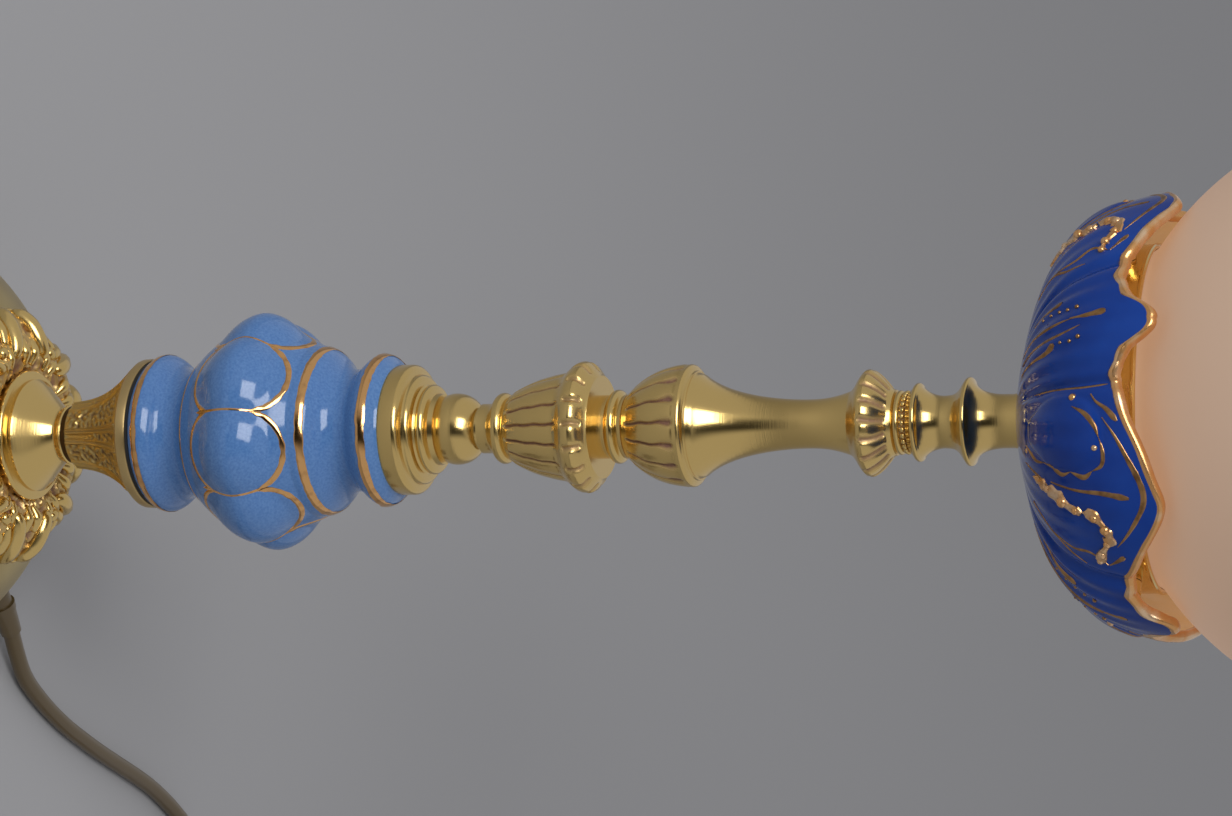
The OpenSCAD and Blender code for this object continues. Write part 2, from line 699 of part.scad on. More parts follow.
module plug_pins() {
    color("silver") translate([plug_x, plug_y, plug_z]) rotate([-90, 0, 0]) for (x = [-1, 1])
        translate([x * 9.5, 0, 20]) {
            cylinder(r = 2.4, h = 30.4, $fn = 32);
            translate([0, 0, 30]) cylinder(r1 = 2.4, r2 = 1.2, h = 2, $fn = 32);
        }
}

felt_pad();
base_foot();
base_weight();
base_washer();
base_nut();
cord_saddle();
saddle_screws();
cord_bush();
base_ornament();
foot_spool();
neck_ring();
leaf_neck();
vase_plate();
vase_gasket();
vase();
vase_cap();
ball_knop();
neck_collar();
reeded_bell();
bell_collar();
reeded_bulb();
trumpet_stem();
flower_collar();
beaded_ring();
lower_bobbin();
upper_bobbin();
petal_cup();
cup_washer();
gallery_spacer();
gallery();
gallery_nut();
threaded_tube();
inner_cord();
lampholder_base();
lampholder_sleeve();
lampholder_insulator();
lampholder_liner();
lampholder_contact();
bulb_cap();
bulb_glass();
globe();
globe_neck();
gallery_screw_1();
gallery_screw_2();
gallery_screw_3();
cord();
cord_tail();
cord_coil();
cord_ties();
switch_base();
switch_cover();
switch_rocker();
switch_screws();
plug_body();
plug_collar();
plug_pins();
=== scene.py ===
"""Looks of a brass, porcelain and frosted-glass table lamp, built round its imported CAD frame.

Lengths are in millimetres, as in the CAD source, and heights run up from the table.
Angles round the column are degrees from the front (-Y), positive towards +X.
"""

import math

import bpy
import numpy as np
from mathutils import Matrix, Vector, noise


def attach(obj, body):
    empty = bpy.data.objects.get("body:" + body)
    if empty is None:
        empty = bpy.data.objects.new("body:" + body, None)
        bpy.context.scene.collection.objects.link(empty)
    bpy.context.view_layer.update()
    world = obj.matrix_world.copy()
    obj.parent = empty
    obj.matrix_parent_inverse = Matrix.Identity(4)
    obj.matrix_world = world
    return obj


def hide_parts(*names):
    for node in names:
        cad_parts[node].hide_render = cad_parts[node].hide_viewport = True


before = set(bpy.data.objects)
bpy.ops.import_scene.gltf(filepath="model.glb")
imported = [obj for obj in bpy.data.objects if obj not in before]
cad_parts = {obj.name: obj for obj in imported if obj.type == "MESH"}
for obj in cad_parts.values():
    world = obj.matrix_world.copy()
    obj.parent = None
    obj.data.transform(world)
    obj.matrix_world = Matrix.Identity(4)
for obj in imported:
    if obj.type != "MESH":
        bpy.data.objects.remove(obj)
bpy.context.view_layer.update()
MM = 0.001
# Radius of the clearance hole round the threaded tube.
BORE_R = 5.3
# Columns of the finest turned meshes.
FINE_COLUMNS = 480
FINE_THETA = np.arange(FINE_COLUMNS) * 360 / FINE_COLUMNS

# ---------------------------------------------------------------- camera
CAMERA_PLACE = (-0.0059, -0.9527, 0.580)
CAMERA_PITCH = math.radians(19)
CAMERA_ROLL = math.radians(0.945)


def make_camera():
    """The picture is turned a quarter, so the column lies along the frame's long side."""
    data = bpy.data.cameras.new("camera")
    data.lens = 93.8
    data.sensor_width = 36
    camera = bpy.data.objects.new("camera", data)
    bpy.context.scene.collection.objects.link(camera)
    right = Vector((1, 0, 0))
    up = Vector((0, math.sin(CAMERA_PITCH), math.cos(CAMERA_PITCH)))
    forward = Vector((0, math.cos(CAMERA_PITCH), -math.sin(CAMERA_PITCH)))
    across = math.cos(CAMERA_ROLL) * up + math.sin(CAMERA_ROLL) * right
    upward = math.sin(CAMERA_ROLL) * up - math.cos(CAMERA_ROLL) * right
    turn = Matrix((across, upward, -forward)).transposed()
    camera.matrix_world = Matrix.Translation(CAMERA_PLACE) @ turn.to_4x4()
    bpy.context.scene.camera = camera


make_camera()


# ---------------------------------------------------------------- outlines
def cubic(p0, p1, p2, p3, t):
    p0, p1, p2, p3 = (np.array(p, float) for p in (p0, p1, p2, p3))
    return (1 - t) ** 3 * p0 + 3 * (1 - t) ** 2 * t * p1 + 3 * (1 - t) * t * t * p2 + t ** 3 * p3


def bow(p0, p1, p2, p3, n=24):
    """Points on a cubic curve, without its first point."""
    return [tuple(cubic(p0, p1, p2, p3, i / n)) for i in range(1, n + 1)]


def arc(c, r, a0, a1, n=16):
    angles = [math.radians(a0 + (a1 - a0) * i / n) for i in range(n + 1)]
    return [(c[0] + r * math.cos(a), c[1] + r * math.sin(a)) for a in angles]


def smooth_path(points, steps):
    """A Catmull-Rom curve through points, with that many steps between each two."""
    p = np.array(points, float)
    p = np.vstack([2 * p[0] - p[1], p, 2 * p[-1] - p[-2]])
    out = []
    for i in range(1, len(p) - 2):
        for k in range(steps):
            t = k / steps
            out.append(0.5 * (2 * p[i] + (p[i + 1] - p[i - 1]) * t
                              + (2 * p[i - 1] - 5 * p[i] + 4 * p[i + 1] - p[i + 2]) * t * t
                              + (3 * p[i] - p[i - 1] - 3 * p[i + 1] + p[i + 2]) * t ** 3))
    out.append(p[-2])
    return np.array(out)


def around(theta):
    """Unit direction in plan at an angle from the front."""
    a = np.radians(theta)
    return np.sin(a), -np.cos(a)


def window(x, low, high, soft):
    """1 between low and high, falling smoothly to 0 over soft on each side."""
    rise = np.clip((x - low) / soft + 1, 0, 1)
    fall = np.clip((high - x) / soft + 1, 0, 1)
    return (rise * rise * (3 - 2 * rise)) * (fall * fall * (3 - 2 * fall))


# ---------------------------------------------------------------- meshes
class Shape:
    """Vertices, faces and a recess value for each vertex, gathered from several parts."""

    def __init__(self):
        self.verts, self.faces, self.recess, self.kinds = [], [], [], []

    def grid(self, points, recess=None, close_rows=False, close_cols=True, kind=0):
        """points is rows x columns x 3."""
        rows, cols = points.shape[:2]
        start = sum(len(v) for v in self.verts)
        self.verts.append(points.reshape(-1, 3))
        self.recess.append(np.zeros(rows * cols) if recess is None else np.asarray(recess, float).reshape(-1))
        for i in range(rows if close_rows else rows - 1):
            for j in range(cols if close_cols else cols - 1):
                k, m = (j + 1) % cols, (i + 1) % rows
                self.faces.append((start + i * cols + j, start + i * cols + k,
                                   start + m * cols + k, start + m * cols + j))
                self.kinds.append(kind)
        return start

    def cap(self, start, cols, upward):
        ring = [start + j for j in range(cols)]
        self.faces.append(ring if upward else ring[::-1])
        self.kinds.append(self.kinds[-1])

    def tube(self, points, radii, sides=12, recess=0.0):
        """A round rod through points with a radius at each, closed by domed ends."""
        p = np.asarray(points, float)
        r = np.asarray(radii, float)
        ends = [math.sin(math.radians(a)) for a in (0, 30, 60)]
        first, last = p[1] - p[0], p[-1] - p[-2]
        first, last = first / np.linalg.norm(first), last / np.linalg.norm(last)
        dome = [math.cos(math.radians(a)) for a in (0, 30, 60)]
        head = [p[0] - first * r[0] * dome[i] for i in range(3)]
        foot = [p[-1] + last * r[-1] * dome[i] for i in (2, 1, 0)]
        line = np.vstack([head, p, foot])
        tiny = 0.02
        size = np.concatenate([[max(r[0] * e, tiny) for e in ends], r,
                               [max(r[-1] * e, tiny) for e in ends[::-1]]])
        along = np.gradient(line, axis=0)
        along /= np.maximum(np.linalg.norm(along, axis=1, keepdims=True), 1e-9)
        side = np.zeros_like(along)
        ref = np.array([0, 0, 1.0]) if abs(along[0][2]) < 0.8 else np.array([1.0, 0, 0])
        for i, t in enumerate(along):
            s = np.cross(ref, t)
            side[i] = s / np.linalg.norm(s)
            ref = np.cross(t, side[i])
        up = np.cross(along, side)
        a = np.radians(np.arange(sides) * 360 / sides)
        ring = line[:, None] + size[:, None, None] * (
            np.cos(a)[None, :, None] * side[:, None] + np.sin(a)[None, :, None] * up[:, None])
        start = self.grid(ring, np.full(ring.shape[:2], recess))
        self.cap(start, sides, False)
        self.cap(start + (len(line) - 1) * sides, sides, True)

    def ball(self, centre, radius, squash=(1, 1, 1), sides=16, recess=0.0):
        rows = sides // 2
        lat = np.radians(np.linspace(-88, 88, rows))
        lon = np.radians(np.arange(sides) * 360 / sides)
        pts = np.stack([np.cos(lat)[:, None] * np.cos(lon)[None], np.cos(lat)[:, None] * np.sin(lon)[None],
                        np.sin(lat)[:, None] + 0 * lon[None]], -1)
        start = self.grid(np.array(centre) + radius * pts * np.array(squash), np.full((rows, sides), recess))
        self.cap(start, sides, False)
        self.cap(start + (rows - 1) * sides, sides, True)

    def make(self, name, *materials, sharp=40.0):
        mesh = bpy.data.meshes.new(name)
        mesh.from_pydata((np.vstack(self.verts) * MM).tolist(), [], self.faces)
        mesh.polygons.foreach_set("material_index", self.kinds)
        held = mesh.attributes.new("recess", "FLOAT", "POINT")
        held.data.foreach_set("value", np.concatenate(self.recess).astype(np.float32))
        mesh.shade_smooth()
        mesh.set_sharp_from_angle(angle=math.radians(sharp))
        mesh.update()
        piece = bpy.data.objects.new(name, mesh)
        bpy.context.scene.collection.objects.link(piece)
        for material in materials:
            mesh.materials.append(material)
        return piece


def settle(piece, body, slot, *nodes):
    """The piece rides on a body and stands for CAD nodes; the slot argument is not used."""
    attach(piece, body)
    if nodes:
        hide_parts(*nodes)
    return piece


def turned(name, outline, material, slot, *nodes, bore=BORE_R, relief=None, segments=128, body="stand"):
    """A lathe piece: outline is (r, z) from bottom to top, and relief(theta, r, z) gives (offset, recess)."""
    line = np.array([(bore, outline[0][1]), *outline, (bore, outline[-1][1])], float)
    theta = np.arange(segments) * 360 / segments
    r = np.repeat(line[:, :1], segments, 1)
    z = np.repeat(line[:, 1:], segments, 1)
    deep = np.zeros_like(r)
    if relief is not None:
        offset, deep = relief(theta[None, :] + 0 * r, r, z)
        offset[[0, -1]] = 0
        r = r + offset
    x, y = around(theta)
    shape = Shape()
    shape.grid(np.stack([r * x[None], r * y[None], z], -1), deep, close_rows=True)
    return settle(shape.make(name, material), body, slot, *nodes)


# ---------------------------------------------------------------- materials
def shader(name, color, rough=0.4, metal=0.0, coat=0.0, glow=None, glow_strength=0.0):
    material = bpy.data.materials.new(name)
    material.use_nodes = True
    bsdf = material.node_tree.nodes["Principled BSDF"]
    bsdf.inputs["Base Color"].default_value = (*color, 1)
    bsdf.inputs["Roughness"].default_value = rough
    bsdf.inputs["Metallic"].default_value = metal
    bsdf.inputs["Coat Weight"].default_value = coat
    bsdf.inputs["Coat Roughness"].default_value = 0.04
    if glow:
        bsdf.inputs["Emission Color"].default_value = (*glow, 1)
        bsdf.inputs["Emission Strength"].default_value = glow_strength
    return material


def add(material, kind, **values):
    node = material.node_tree.nodes.new(kind)
    for key, value in values.items():
        setattr(node, key, value)
    return node


def link(material, out, into):
    material.node_tree.links.new(out, into)


def place(material, scale):
    """Object coordinates, stretched by scale on each axis."""
    where = add(material, "ShaderNodeTexCoord")
    stretch = add(material, "ShaderNodeMapping")
    stretch.inputs["Scale"].default_value = scale
    link(material, where.outputs["Object"], stretch.inputs["Vector"])
    return stretch.outputs["Vector"]


def grain(material, scale, strength, distance, detail=3.0):
    """Fine raised grain from noise."""
    cloud = add(material, "ShaderNodeTexNoise")
    cloud.inputs["Scale"].default_value = 1.0
    cloud.inputs["Detail"].default_value = detail
    link(material, place(material, scale), cloud.inputs["Vector"])
    bump = add(material, "ShaderNodeBump")
    bump.inputs["Strength"].default_value = strength
    bump.inputs["Distance"].default_value = distance
    link(material, cloud.outputs["Fac"], bump.inputs["Height"])
    link(material, bump.outputs["Normal"], material.node_tree.nodes["Principled BSDF"].inputs["Normal"])


def mottle(material, color, other, scale, low=0.4, high=0.65, detail=4.0):
    """Two colours mixed by noise, as the base colour."""
    cloud = add(material, "ShaderNodeTexNoise")
    cloud.inputs["Scale"].default_value = 1.0
    cloud.inputs["Detail"].default_value = detail
    link(material, place(material, scale), cloud.inputs["Vector"])
    ramp = add(material, "ShaderNodeValToRGB")
    ramp.color_ramp.elements[0].position = low
    ramp.color_ramp.elements[0].color = (*color, 1)
    ramp.color_ramp.elements[1].position = high
    ramp.color_ramp.elements[1].color = (*other, 1)
    link(material, cloud.outputs["Fac"], ramp.inputs["Fac"])
    link(material, ramp.outputs["Color"], material.node_tree.nodes["Principled BSDF"].inputs["Base Color"])
    return ramp


def residue_and_painted_shade(material, base, dirt, rough):
    """Dull reddish polish left in hollows where the recess attribute is high, bright metal elsewhere; on the
    leaf neck the recess value also carries painted shade.
    """
    bsdf = material.node_tree.nodes["Principled BSDF"]
    held = add(material, "ShaderNodeAttribute", attribute_name="recess")
    cloud = add(material, "ShaderNodeTexNoise")
    cloud.inputs["Scale"].default_value = 900.0
    cloud.inputs["Detail"].default_value = 3.0
    link(material, place(material, (1, 1, 1)), cloud.inputs["Vector"])
    patchy = add(material, "ShaderNodeMath", operation="MULTIPLY_ADD")
    patchy.inputs[1].default_value = 0.9
    patchy.inputs[2].default_value = -0.45
    link(material, cloud.outputs["Fac"], patchy.inputs[0])
    total = add(material, "ShaderNodeMath", operation="ADD", use_clamp=True)
    link(material, held.outputs["Fac"], total.inputs[0])
    scaled = add(material, "ShaderNodeMath", operation="MULTIPLY")
    link(material, patchy.outputs["Value"], scaled.inputs[0])
    link(material, held.outputs["Fac"], scaled.inputs[1])
    link(material, scaled.outputs["Value"], total.inputs[1])
    for socket, clean, dirty in (("Base Color", base, dirt), ("Metallic", 1.0, 0.15),
                                 ("Roughness", rough, 0.6)):
        color = socket == "Base Color"
        mix = add(material, "ShaderNodeMix", data_type="RGBA" if color else "FLOAT")
        # A Mix node keeps its number sockets and its colour sockets at these places.
        a, b, out = (6, 7, 2) if color else (2, 3, 0)
        mix.inputs[a].default_value = (*clean, 1) if color else clean
        mix.inputs[b].default_value = (*dirty, 1) if color else dirty
        link(material, total.outputs["Value"], mix.inputs["Factor"])
        link(material, mix.outputs[out], bsdf.inputs[socket])


def brushed(material, amount):
    """Lathe marks run round the column, so reflections stretch along it."""
    bsdf = material.node_tree.nodes["Principled BSDF"]
    bsdf.inputs["Anisotropic"].default_value = amount
    bsdf.inputs["Anisotropic Rotation"].default_value = 0.25
    lathe = add(material, "ShaderNodeTangent", direction_type="RADIAL", axis="Z")
    link(material, lathe.outputs["Tangent"], bsdf.inputs["Tangent"])


BRASS = (0.76, 0.54, 0.20)
PALE_BRASS = (0.64, 0.51, 0.24)

foot_brass = shader("foot_brass", PALE_BRASS, rough=0.36, metal=1)
brushed(foot_brass, 0.5)
mottle(foot_brass, (0.50, 0.39, 0.17), (0.38, 0.28, 0.11), (30, 30, 30), 0.35, 0.75)
grain(foot_brass, (60, 60, 900), 0.25, 0.0001)
turned_brass = shader("turned_brass", BRASS, rough=0.19, metal=1)
brushed(turned_brass, 0.5)
grain(turned_brass, (8, 8, 2000), 0.4, 0.00008)
plate_brass = shader("plate_brass", (0.60, 0.43, 0.19), rough=0.36, metal=1)
brushed(plate_brass, 0.7)
grain(plate_brass, (3, 3, 1800), 0.3, 0.0001)
cast_brass = shader("cast_brass", BRASS, metal=1)
residue_and_painted_shade(cast_brass, BRASS, (0.25, 0.125, 0.08), 0.22)
grain(cast_brass, (700, 700, 700), 0.15, 0.00015)
old_brass = shader("old_brass", BRASS, metal=1)
residue_and_painted_shade(old_brass, (0.60, 0.42, 0.15), (0.20, 0.11, 0.035), 0.3)
grain(old_brass, (500, 500, 500), 0.4, 0.0003)
dark_brass = shader("dark_brass", (0.10, 0.055, 0.02), rough=0.4, metal=1)
gold_paint = shader("gold_paint", (0.80, 0.44, 0.17), rough=0.13, metal=1)
mottle(gold_paint, (0.82, 0.46, 0.18), (0.40, 0.21, 0.09), (260, 260, 260), 0.5, 0.8)
dull_gold = shader("dull_gold", (0.44, 0.25, 0.10), rough=0.33, metal=1)
mottle(dull_gold, (0.50, 0.28, 0.11), (0.22, 0.11, 0.05), (300, 300, 300), 0.42, 0.72)
rim_gold = shader("rim_gold", (0.8, 0.46, 0.2), rough=0.24, metal=0.8)
mottle(rim_gold, (0.76, 0.40, 0.15), (0.84, 0.60, 0.38), (120, 120, 120), 0.48, 0.66)
sky_glaze = shader("sky_glaze", (0.10, 0.23, 0.52), rough=0.11)
mottle(sky_glaze, (0.078, 0.198, 0.475), (0.122, 0.265, 0.555), (1300, 1300, 1300), 0.32, 0.7, 3.0)
cobalt_glaze = shader("cobalt_glaze", (0.004, 0.045, 0.30), rough=0.1)
cobalt_glaze.node_tree.nodes["Principled BSDF"].inputs["Specular IOR Level"].default_value = 0.3
mottle(cobalt_glaze, (0.003, 0.036, 0.26), (0.006, 0.06, 0.36), (40, 40, 40), 0.35, 0.7)
# The cream glaze glows a little: painted warm light from the lit globe falling into the cup.
cream_glaze_painted_glow = shader("cream_glaze_painted_glow", (0.82, 0.68, 0.46), rough=0.2, glow=(1.0, 0.62, 0.28), glow_strength=0.12)
opal = shader("opal", (0.46, 0.36, 0.28), rough=0.5, glow=(1.0, 0.60, 0.38), glow_strength=0.2)
# The lit bulb shows warmer and brighter through the glass near the neck.
height = add(opal, "ShaderNodeSeparateXYZ")
link(opal, place(opal, (1, 1, 1)), height.inputs["Vector"])
fade = add(opal, "ShaderNodeMapRange")
for socket, value in (("From Min", 0.405), ("From Max", 0.462), ("To Min", 0.34), ("To Max", 0.19)):
    fade.inputs[socket].default_value = value
link(opal, height.outputs["Z"], fade.inputs["Value"])
link(opal, fade.outputs["Result"], opal.node_tree.nodes["Principled BSDF"].inputs["Emission Strength"])
bulb_lit = shader("bulb_lit", (0.95, 0.9, 0.82), rough=0.4, glow=(1.0, 0.78, 0.55), glow_strength=1.4)
nickel = shader("nickel", (0.72, 0.70, 0.66), rough=0.18, metal=1)
steel = shader("steel", (0.56, 0.56, 0.55), rough=0.32, metal=1)
iron = shader("iron", (0.05, 0.05, 0.05), rough=0.7, metal=0.3)
grain(iron, (400, 400, 400), 0.5, 0.0005)
felt = shader("felt", (0.05, 0.09, 0.04), rough=1.0)
grain(felt, (1500, 1500, 1500), 0.8, 0.0005)
rubber = shader("rubber", (0.015, 0.015, 0.016), rough=0.55)
ivory = shader("ivory", (0.72, 0.68, 0.58), rough=0.35)
ceramic = shader("ceramic", (0.80, 0.78, 0.74), rough=0.25, coat=0.5)
cord_cover = shader("cord_cover", (0.105, 0.070, 0.026), rough=0.34, coat=0.2)
grain(cord_cover, (900, 900, 900), 0.12, 0.0002)
fitting_gold = shader("fitting_gold", (0.24, 0.155, 0.055), rough=0.3, coat=0.3)

CAD_LOOKS = {
    "felt_pad": felt, "base_weight": iron, "base_washer": steel, "base_nut": turned_brass,
    "cord_saddle": ivory, "saddle_screws": steel, "cord_bush": cord_cover, "vase_gasket": rubber,
    "cup_washer": steel, "gallery_spacer": turned_brass, "gallery": turned_brass,
    "gallery_nut": turned_brass, "threaded_tube": turned_brass, "inner_cord": cord_cover,
    "lampholder_base": turned_brass, "lampholder_sleeve": ivory, "lampholder_insulator": ceramic,
    "lampholder_liner": nickel, "lampholder_contact": nickel, "bulb_cap": nickel,
    "bulb_glass": bulb_lit, "gallery_screw_1": turned_brass, "gallery_screw_2": turned_brass,
    "gallery_screw_3": turned_brass, "cord_ties": rubber, "switch_base": fitting_gold,
    "switch_cover": fitting_gold, "switch_rocker": fitting_gold, "switch_screws": steel,
    "plug_body": fitting_gold, "plug_collar": fitting_gold, "plug_pins": nickel}
for node_name, look in CAD_LOOKS.items():
    node_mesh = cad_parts[node_name].data
    node_mesh.materials.clear()
    node_mesh.materials.append(look)

# ---------------------------------------------------------------- cord
CORD_D = 6.0
COIL = (248.0, -10.0)
COIL_START = 180.0
COIL_END = 36.5
# Radius and height of each turn of the coil, from the first laid to the last.
COIL_TURNS = [(42, 3.8), (36, 3.8), (30, 3.8), (33, 9.0), (39, 9.0), (36, 14.2)]
# Degrees over which one turn passes into the next.
COIL_STEP = 70.0
CORD_ROUTE = [(69.6, 50.5, 7), (78.5, 57, 5.6), (88, 66.2, 3.8), (98, 80, 3.1), (107, 95, 3),
              (114, 109, 3), (120, 122, 3), (126, 136, 3), (131.5, 149, 3), (137, 161, 3),
              (143, 172, 3), (150, 183, 3), (158, 193, 3), (168, 199.5, 3), (180, 201.5, 3),
              (192, 197.5, 3), (201, 189, 3.2), (205.5, 178, 4.6), (206, 168, 6), (206, 152, 6),
              (206, 136, 6), (206, 120, 6), (206, 104, 6), (206, 92, 5), (206, 80, 3.6),
              (206, 66, 3), (206, 36, 3), (206, 20, 3.3), (206, 6, 3.8)]
CORD_TAIL = [(271, 22, 12), (265.5, 34, 7), (262.5, 48, 3.6), (262, 60, 3), (262, 72, 3.6),
             (262, 84, 7), (262, 94, 13), (262, 102, 17.5), (262, 112, 19), (262, 122, 19)]


def coil_points():
    """Points round the coil, each turn easing into the next near its end."""
    whole = len(COIL_TURNS) - 1
    sweep = 360 * whole + (COIL_END - COIL_START) % 360
    points = []
    for i in range(int(sweep / 6) + 1):
        angle = sweep * i / int(sweep / 6)
        turn = min(int(angle // 360), whole)
        r, z = COIL_TURNS[turn]
        into = angle - 360 * turn - (360 - COIL_STEP)
        if turn < whole and into > 0:
            t = into / COIL_STEP
            t = t * t * (3 - 2 * t)
            r += (COIL_TURNS[turn + 1][0] - r) * t
            z += (COIL_TURNS[turn + 1][1] - z) * t
        a = math.radians(COIL_START + angle)
        points.append((COIL[0] + r * math.cos(a), COIL[1] + r * math.sin(a), z))
    return points


def make_cord():
    coil = coil_points()
    line = np.vstack([smooth_path([*CORD_ROUTE, coil[0]], 4)[:-1], coil[:-1],
                      smooth_path([coil[-1], *CORD_TAIL], 4)])
    curve = bpy.data.curves.new("cord_line", "CURVE")
    curve.dimensions = "3D"
    curve.bevel_depth = CORD_D / 2 * MM
    curve.bevel_resolution = 6
    curve.use_fill_caps = True
    spline = curve.splines.new("POLY")
    spline.points.add(len(line) - 1)
    for point, place_mm in zip(spline.points, line):
        point.co = (*(place_mm * MM), 1)
    spline.use_smooth = True
    curve.materials.append(cord_cover)
    piece = bpy.data.objects.new("mains_cord", curve)
    bpy.context.scene.collection.objects.link(piece)
    settle(piece, "stand", "cord_gold", "cord", "cord_tail", "cord_coil")


make_cord()

# ---------------------------------------------------------------- foot
FOOT_CURVE = [(72.2, 1.2), (72.8, 1.6), (73, 2.4), (73, 3),
              *bow((73, 3), (67.6, 11.5), (56.5, 27), (42.3, 33), 40)]
FOOT_INSIDE = [(r - 2.2, max(z - 1.6, 1.2)) for r, z in FOOT_CURVE[::-1]]
turned("foot", [(40, 31.4), *FOOT_INSIDE, *FOOT_CURVE, (41, 33)],
       foot_brass, "brass_spun", "base_foot", segments=192)

ORNAMENT_COUNT = 12


def ornament():
    """A cast ring of scrolls, leaves and beads round the top of the foot."""
    shape = Shape()
    ring = np.array([(21.6, 33), (40.4, 33), *bow((40.4, 33), (41.6, 37.6), (35.5, 41.4), (31, 42.8), 30),
                     *bow((31, 42.8), (28, 43.8), (25, 43.6), (22.4, 41.8), 24), (21.6, 41)])
    x, y = around(FINE_THETA)
    r = np.repeat(ring[:, :1], FINE_COLUMNS, 1)
    z = np.repeat(ring[:, 1:], FINE_COLUMNS, 1)
    points = np.stack([r * x, r * y, z], -1)
    # Lumps of cast leafage fill the ground between the scrolls.
    lumps = np.array([1 - 2 * abs(noise.noise(Vector(p) / 3.4)) for p in points.reshape(-1, 3)])
    lumps = lumps.reshape(r.shape)
    swell = np.clip(lumps, 0, 1) * 1.5 * window(z, 34.5, 44, 1.5)
    slope = np.gradient(ring, axis=0)
    slope /= np.linalg.norm(slope, axis=1, keepdims=True)
    r = r + swell * slope[:, 1:]
    z = z - swell * slope[:, :1]
    shape.grid(np.stack([r * x, r * y, z], -1), np.clip(1.0 - 0.9 * lumps, 0, 0.9), close_rows=True)

    def at(theta_deg, radius, height):
        px, py = around(theta_deg)
        return (radius * px, radius * py, height)

    def rod(middle, points, radii, mirror=1):
        path = smooth_path([at(middle + mirror * t, pr, pz) for t, pr, pz in points], 5)
        size = np.interp(np.linspace(0, 1, len(path)), np.linspace(0, 1, len(radii)), radii)
        shape.tube(path, size, sides=12)

    for i in range(ORNAMENT_COUNT):
        middle = (i + 0.5) * 360 / ORNAMENT_COUNT
        flip = 1 if i % 2 else -1
        # Broad curled leaf over the shoulder, and a thinner one beside it.
        rod(middle, [(-7, 41.2, 34.4), (-6.5, 40.6, 37.6), (-4, 37.6, 40.8), (-1, 33.4, 43.2),
                     (3, 29.8, 44.2), (6.5, 28.6, 43.4)], [1.6, 2.8, 3.3, 3.1, 2.6, 1.9], flip)
        rod(middle, [(2, 40.8, 34.8), (2.6, 39.6, 38), (4.5, 36.6, 40.8), (8, 33.6, 42.4)],
            [1.5, 2.3, 2.3, 1.6], flip)
        # Volute: a rod that winds in on the outer shoulder, with an eye.
        winding = []
        for k in range(11):
            a = math.radians(40 + 48 * k)
            size = 3.7 * (1 - k / 13)
            winding.append((10.2 + size * math.cos(a) / 0.66, 38.6 - size * math.sin(a) * 0.62,
                            37.8 + size * math.sin(a) * 0.78))
        rod(middle, winding, [1.7, 1.7, 1.5, 1.3, 1.1], flip)
        shape.ball(at(middle + flip * 10.2, 38.9, 38.1), 1.5)
        # Inner leaf tips against the spool, and beads between the scrolls.
        rod(middle, [(-10, 24.6, 43.4), (-9, 28, 44.4), (-9.4, 31.4, 43.4)], [1.4, 2.2, 1.5], flip)
        rod(middle, [(11, 25, 43.2), (10, 28, 43.9), (8, 30.5, 43.4)], [1.3, 1.8, 1.3], flip)
        shape.ball(at(middle + flip * 14.2, 31.6, 43.2), 2.1)
        shape.ball(at(middle - flip * 12.6, 39.2, 36.6), 1.9)
        shape.ball(at(middle + flip * 1.5, 38.4, 36.2), 1.5)
        rod(middle, [(-12.5, 41.2, 34), (-9, 42.2, 34.4), (-2, 42, 34.6), (4, 41.9, 34.2), (13, 41.6, 34)],
            [0.9, 1.1, 1.0, 1.1, 0.9], flip)
    settle(shape.make("ornament", cast_brass), "stand", "brass_cast", "base_ornament")


ornament()

turned("spool", [(20.6, 33), (21.2, 43.6), *arc((20.7, 44.7), 1.1, -20, 100, 12), (19.4, 45.9), (18.7, 46.1),
                 (18.7, 47), *bow((18.9, 47.2), (16.9, 49.6), (11.6, 53.2), (8.9, 57.6), 30),
                 *bow((8.9, 57.6), (8.8, 58.5), (9.6, 59), (9.9, 59.6), 6), (9.9, 60.2), (9.5, 60.6)],
       turned_brass, "brass_turned", "foot_spool")
turned("dark_ring", [(9.3, 60.6), (9.6, 60.9), (9.6, 62.3), (9.3, 62.6)], dark_brass, "brass_dark",
       "neck_ring")

# ---------------------------------------------------------------- leaf neck and plate
NECK_UNITS = 6
RIB_MIDDLE = 3.25
RIB_HALF = 10.75


def bark(theta, r, z):
    """Paired ribs, and pebbled bark on the panels between the pairs."""
    step = 360 / NECK_UNITS
    away = np.abs((theta - RIB_MIDDLE + step / 2) % step - step / 2)
    rib = (np.exp(-(((away - RIB_HALF) * np.radians(1) * r) / 0.45) ** 2)
           + 0.6 * np.exp(-(((away - RIB_HALF + 5.5) * np.radians(1) * r) / 0.4) ** 2))
    panel = np.clip((away - RIB_HALF - 2.5) / 2, 0, 1) * window(z, 65, 85, 2)
    x, y = around(theta)
    lumps = np.array([noise.noise(Vector(p) / 1.3) for p in
                      np.stack([r * x, r * y, z], -1).reshape(-1, 3)]).reshape(r.shape)
    # The trough between two ribs is pebbled too, above its plain foot.
    panel = panel + window(away, -9, 3.5, 2) * window(z, 73, 85, 3)
    offset = 0.9 * rib + panel * (0.8 * lumps - 0.1) - 0.3 * window(away, -9, 4, 3) * window(z, 64, 86, 2)
    # Painted shade: the trough between the two ribs of each pair is darkened through the recess value.
    shade = 0.5 * np.exp(-((away - RIB_HALF + 2.6) / 1.2) ** 2)
    recess = np.clip(panel * (0.25 - 1.6 * lumps) + shade, 0, 1)
    return offset * (z > 63), recess


turned("bark_neck", [(10.2, 62.6), (10.7, 63), *bow((10.7, 63), (11.4, 71), (12.6, 77), (21.4, 86.2), 60),
                     (22.4, 87.4), (22.4, 88)],
       old_brass, "brass_cast", "leaf_neck", relief=bark, segments=FINE_COLUMNS)
turned("plate", [(22.6, 88), (23.8, 88.2), (24.5, 88.9), (24.6, 91.4), (24.3, 92)],
       plate_brass, "brass_turned", "vase_plate", segments=192)

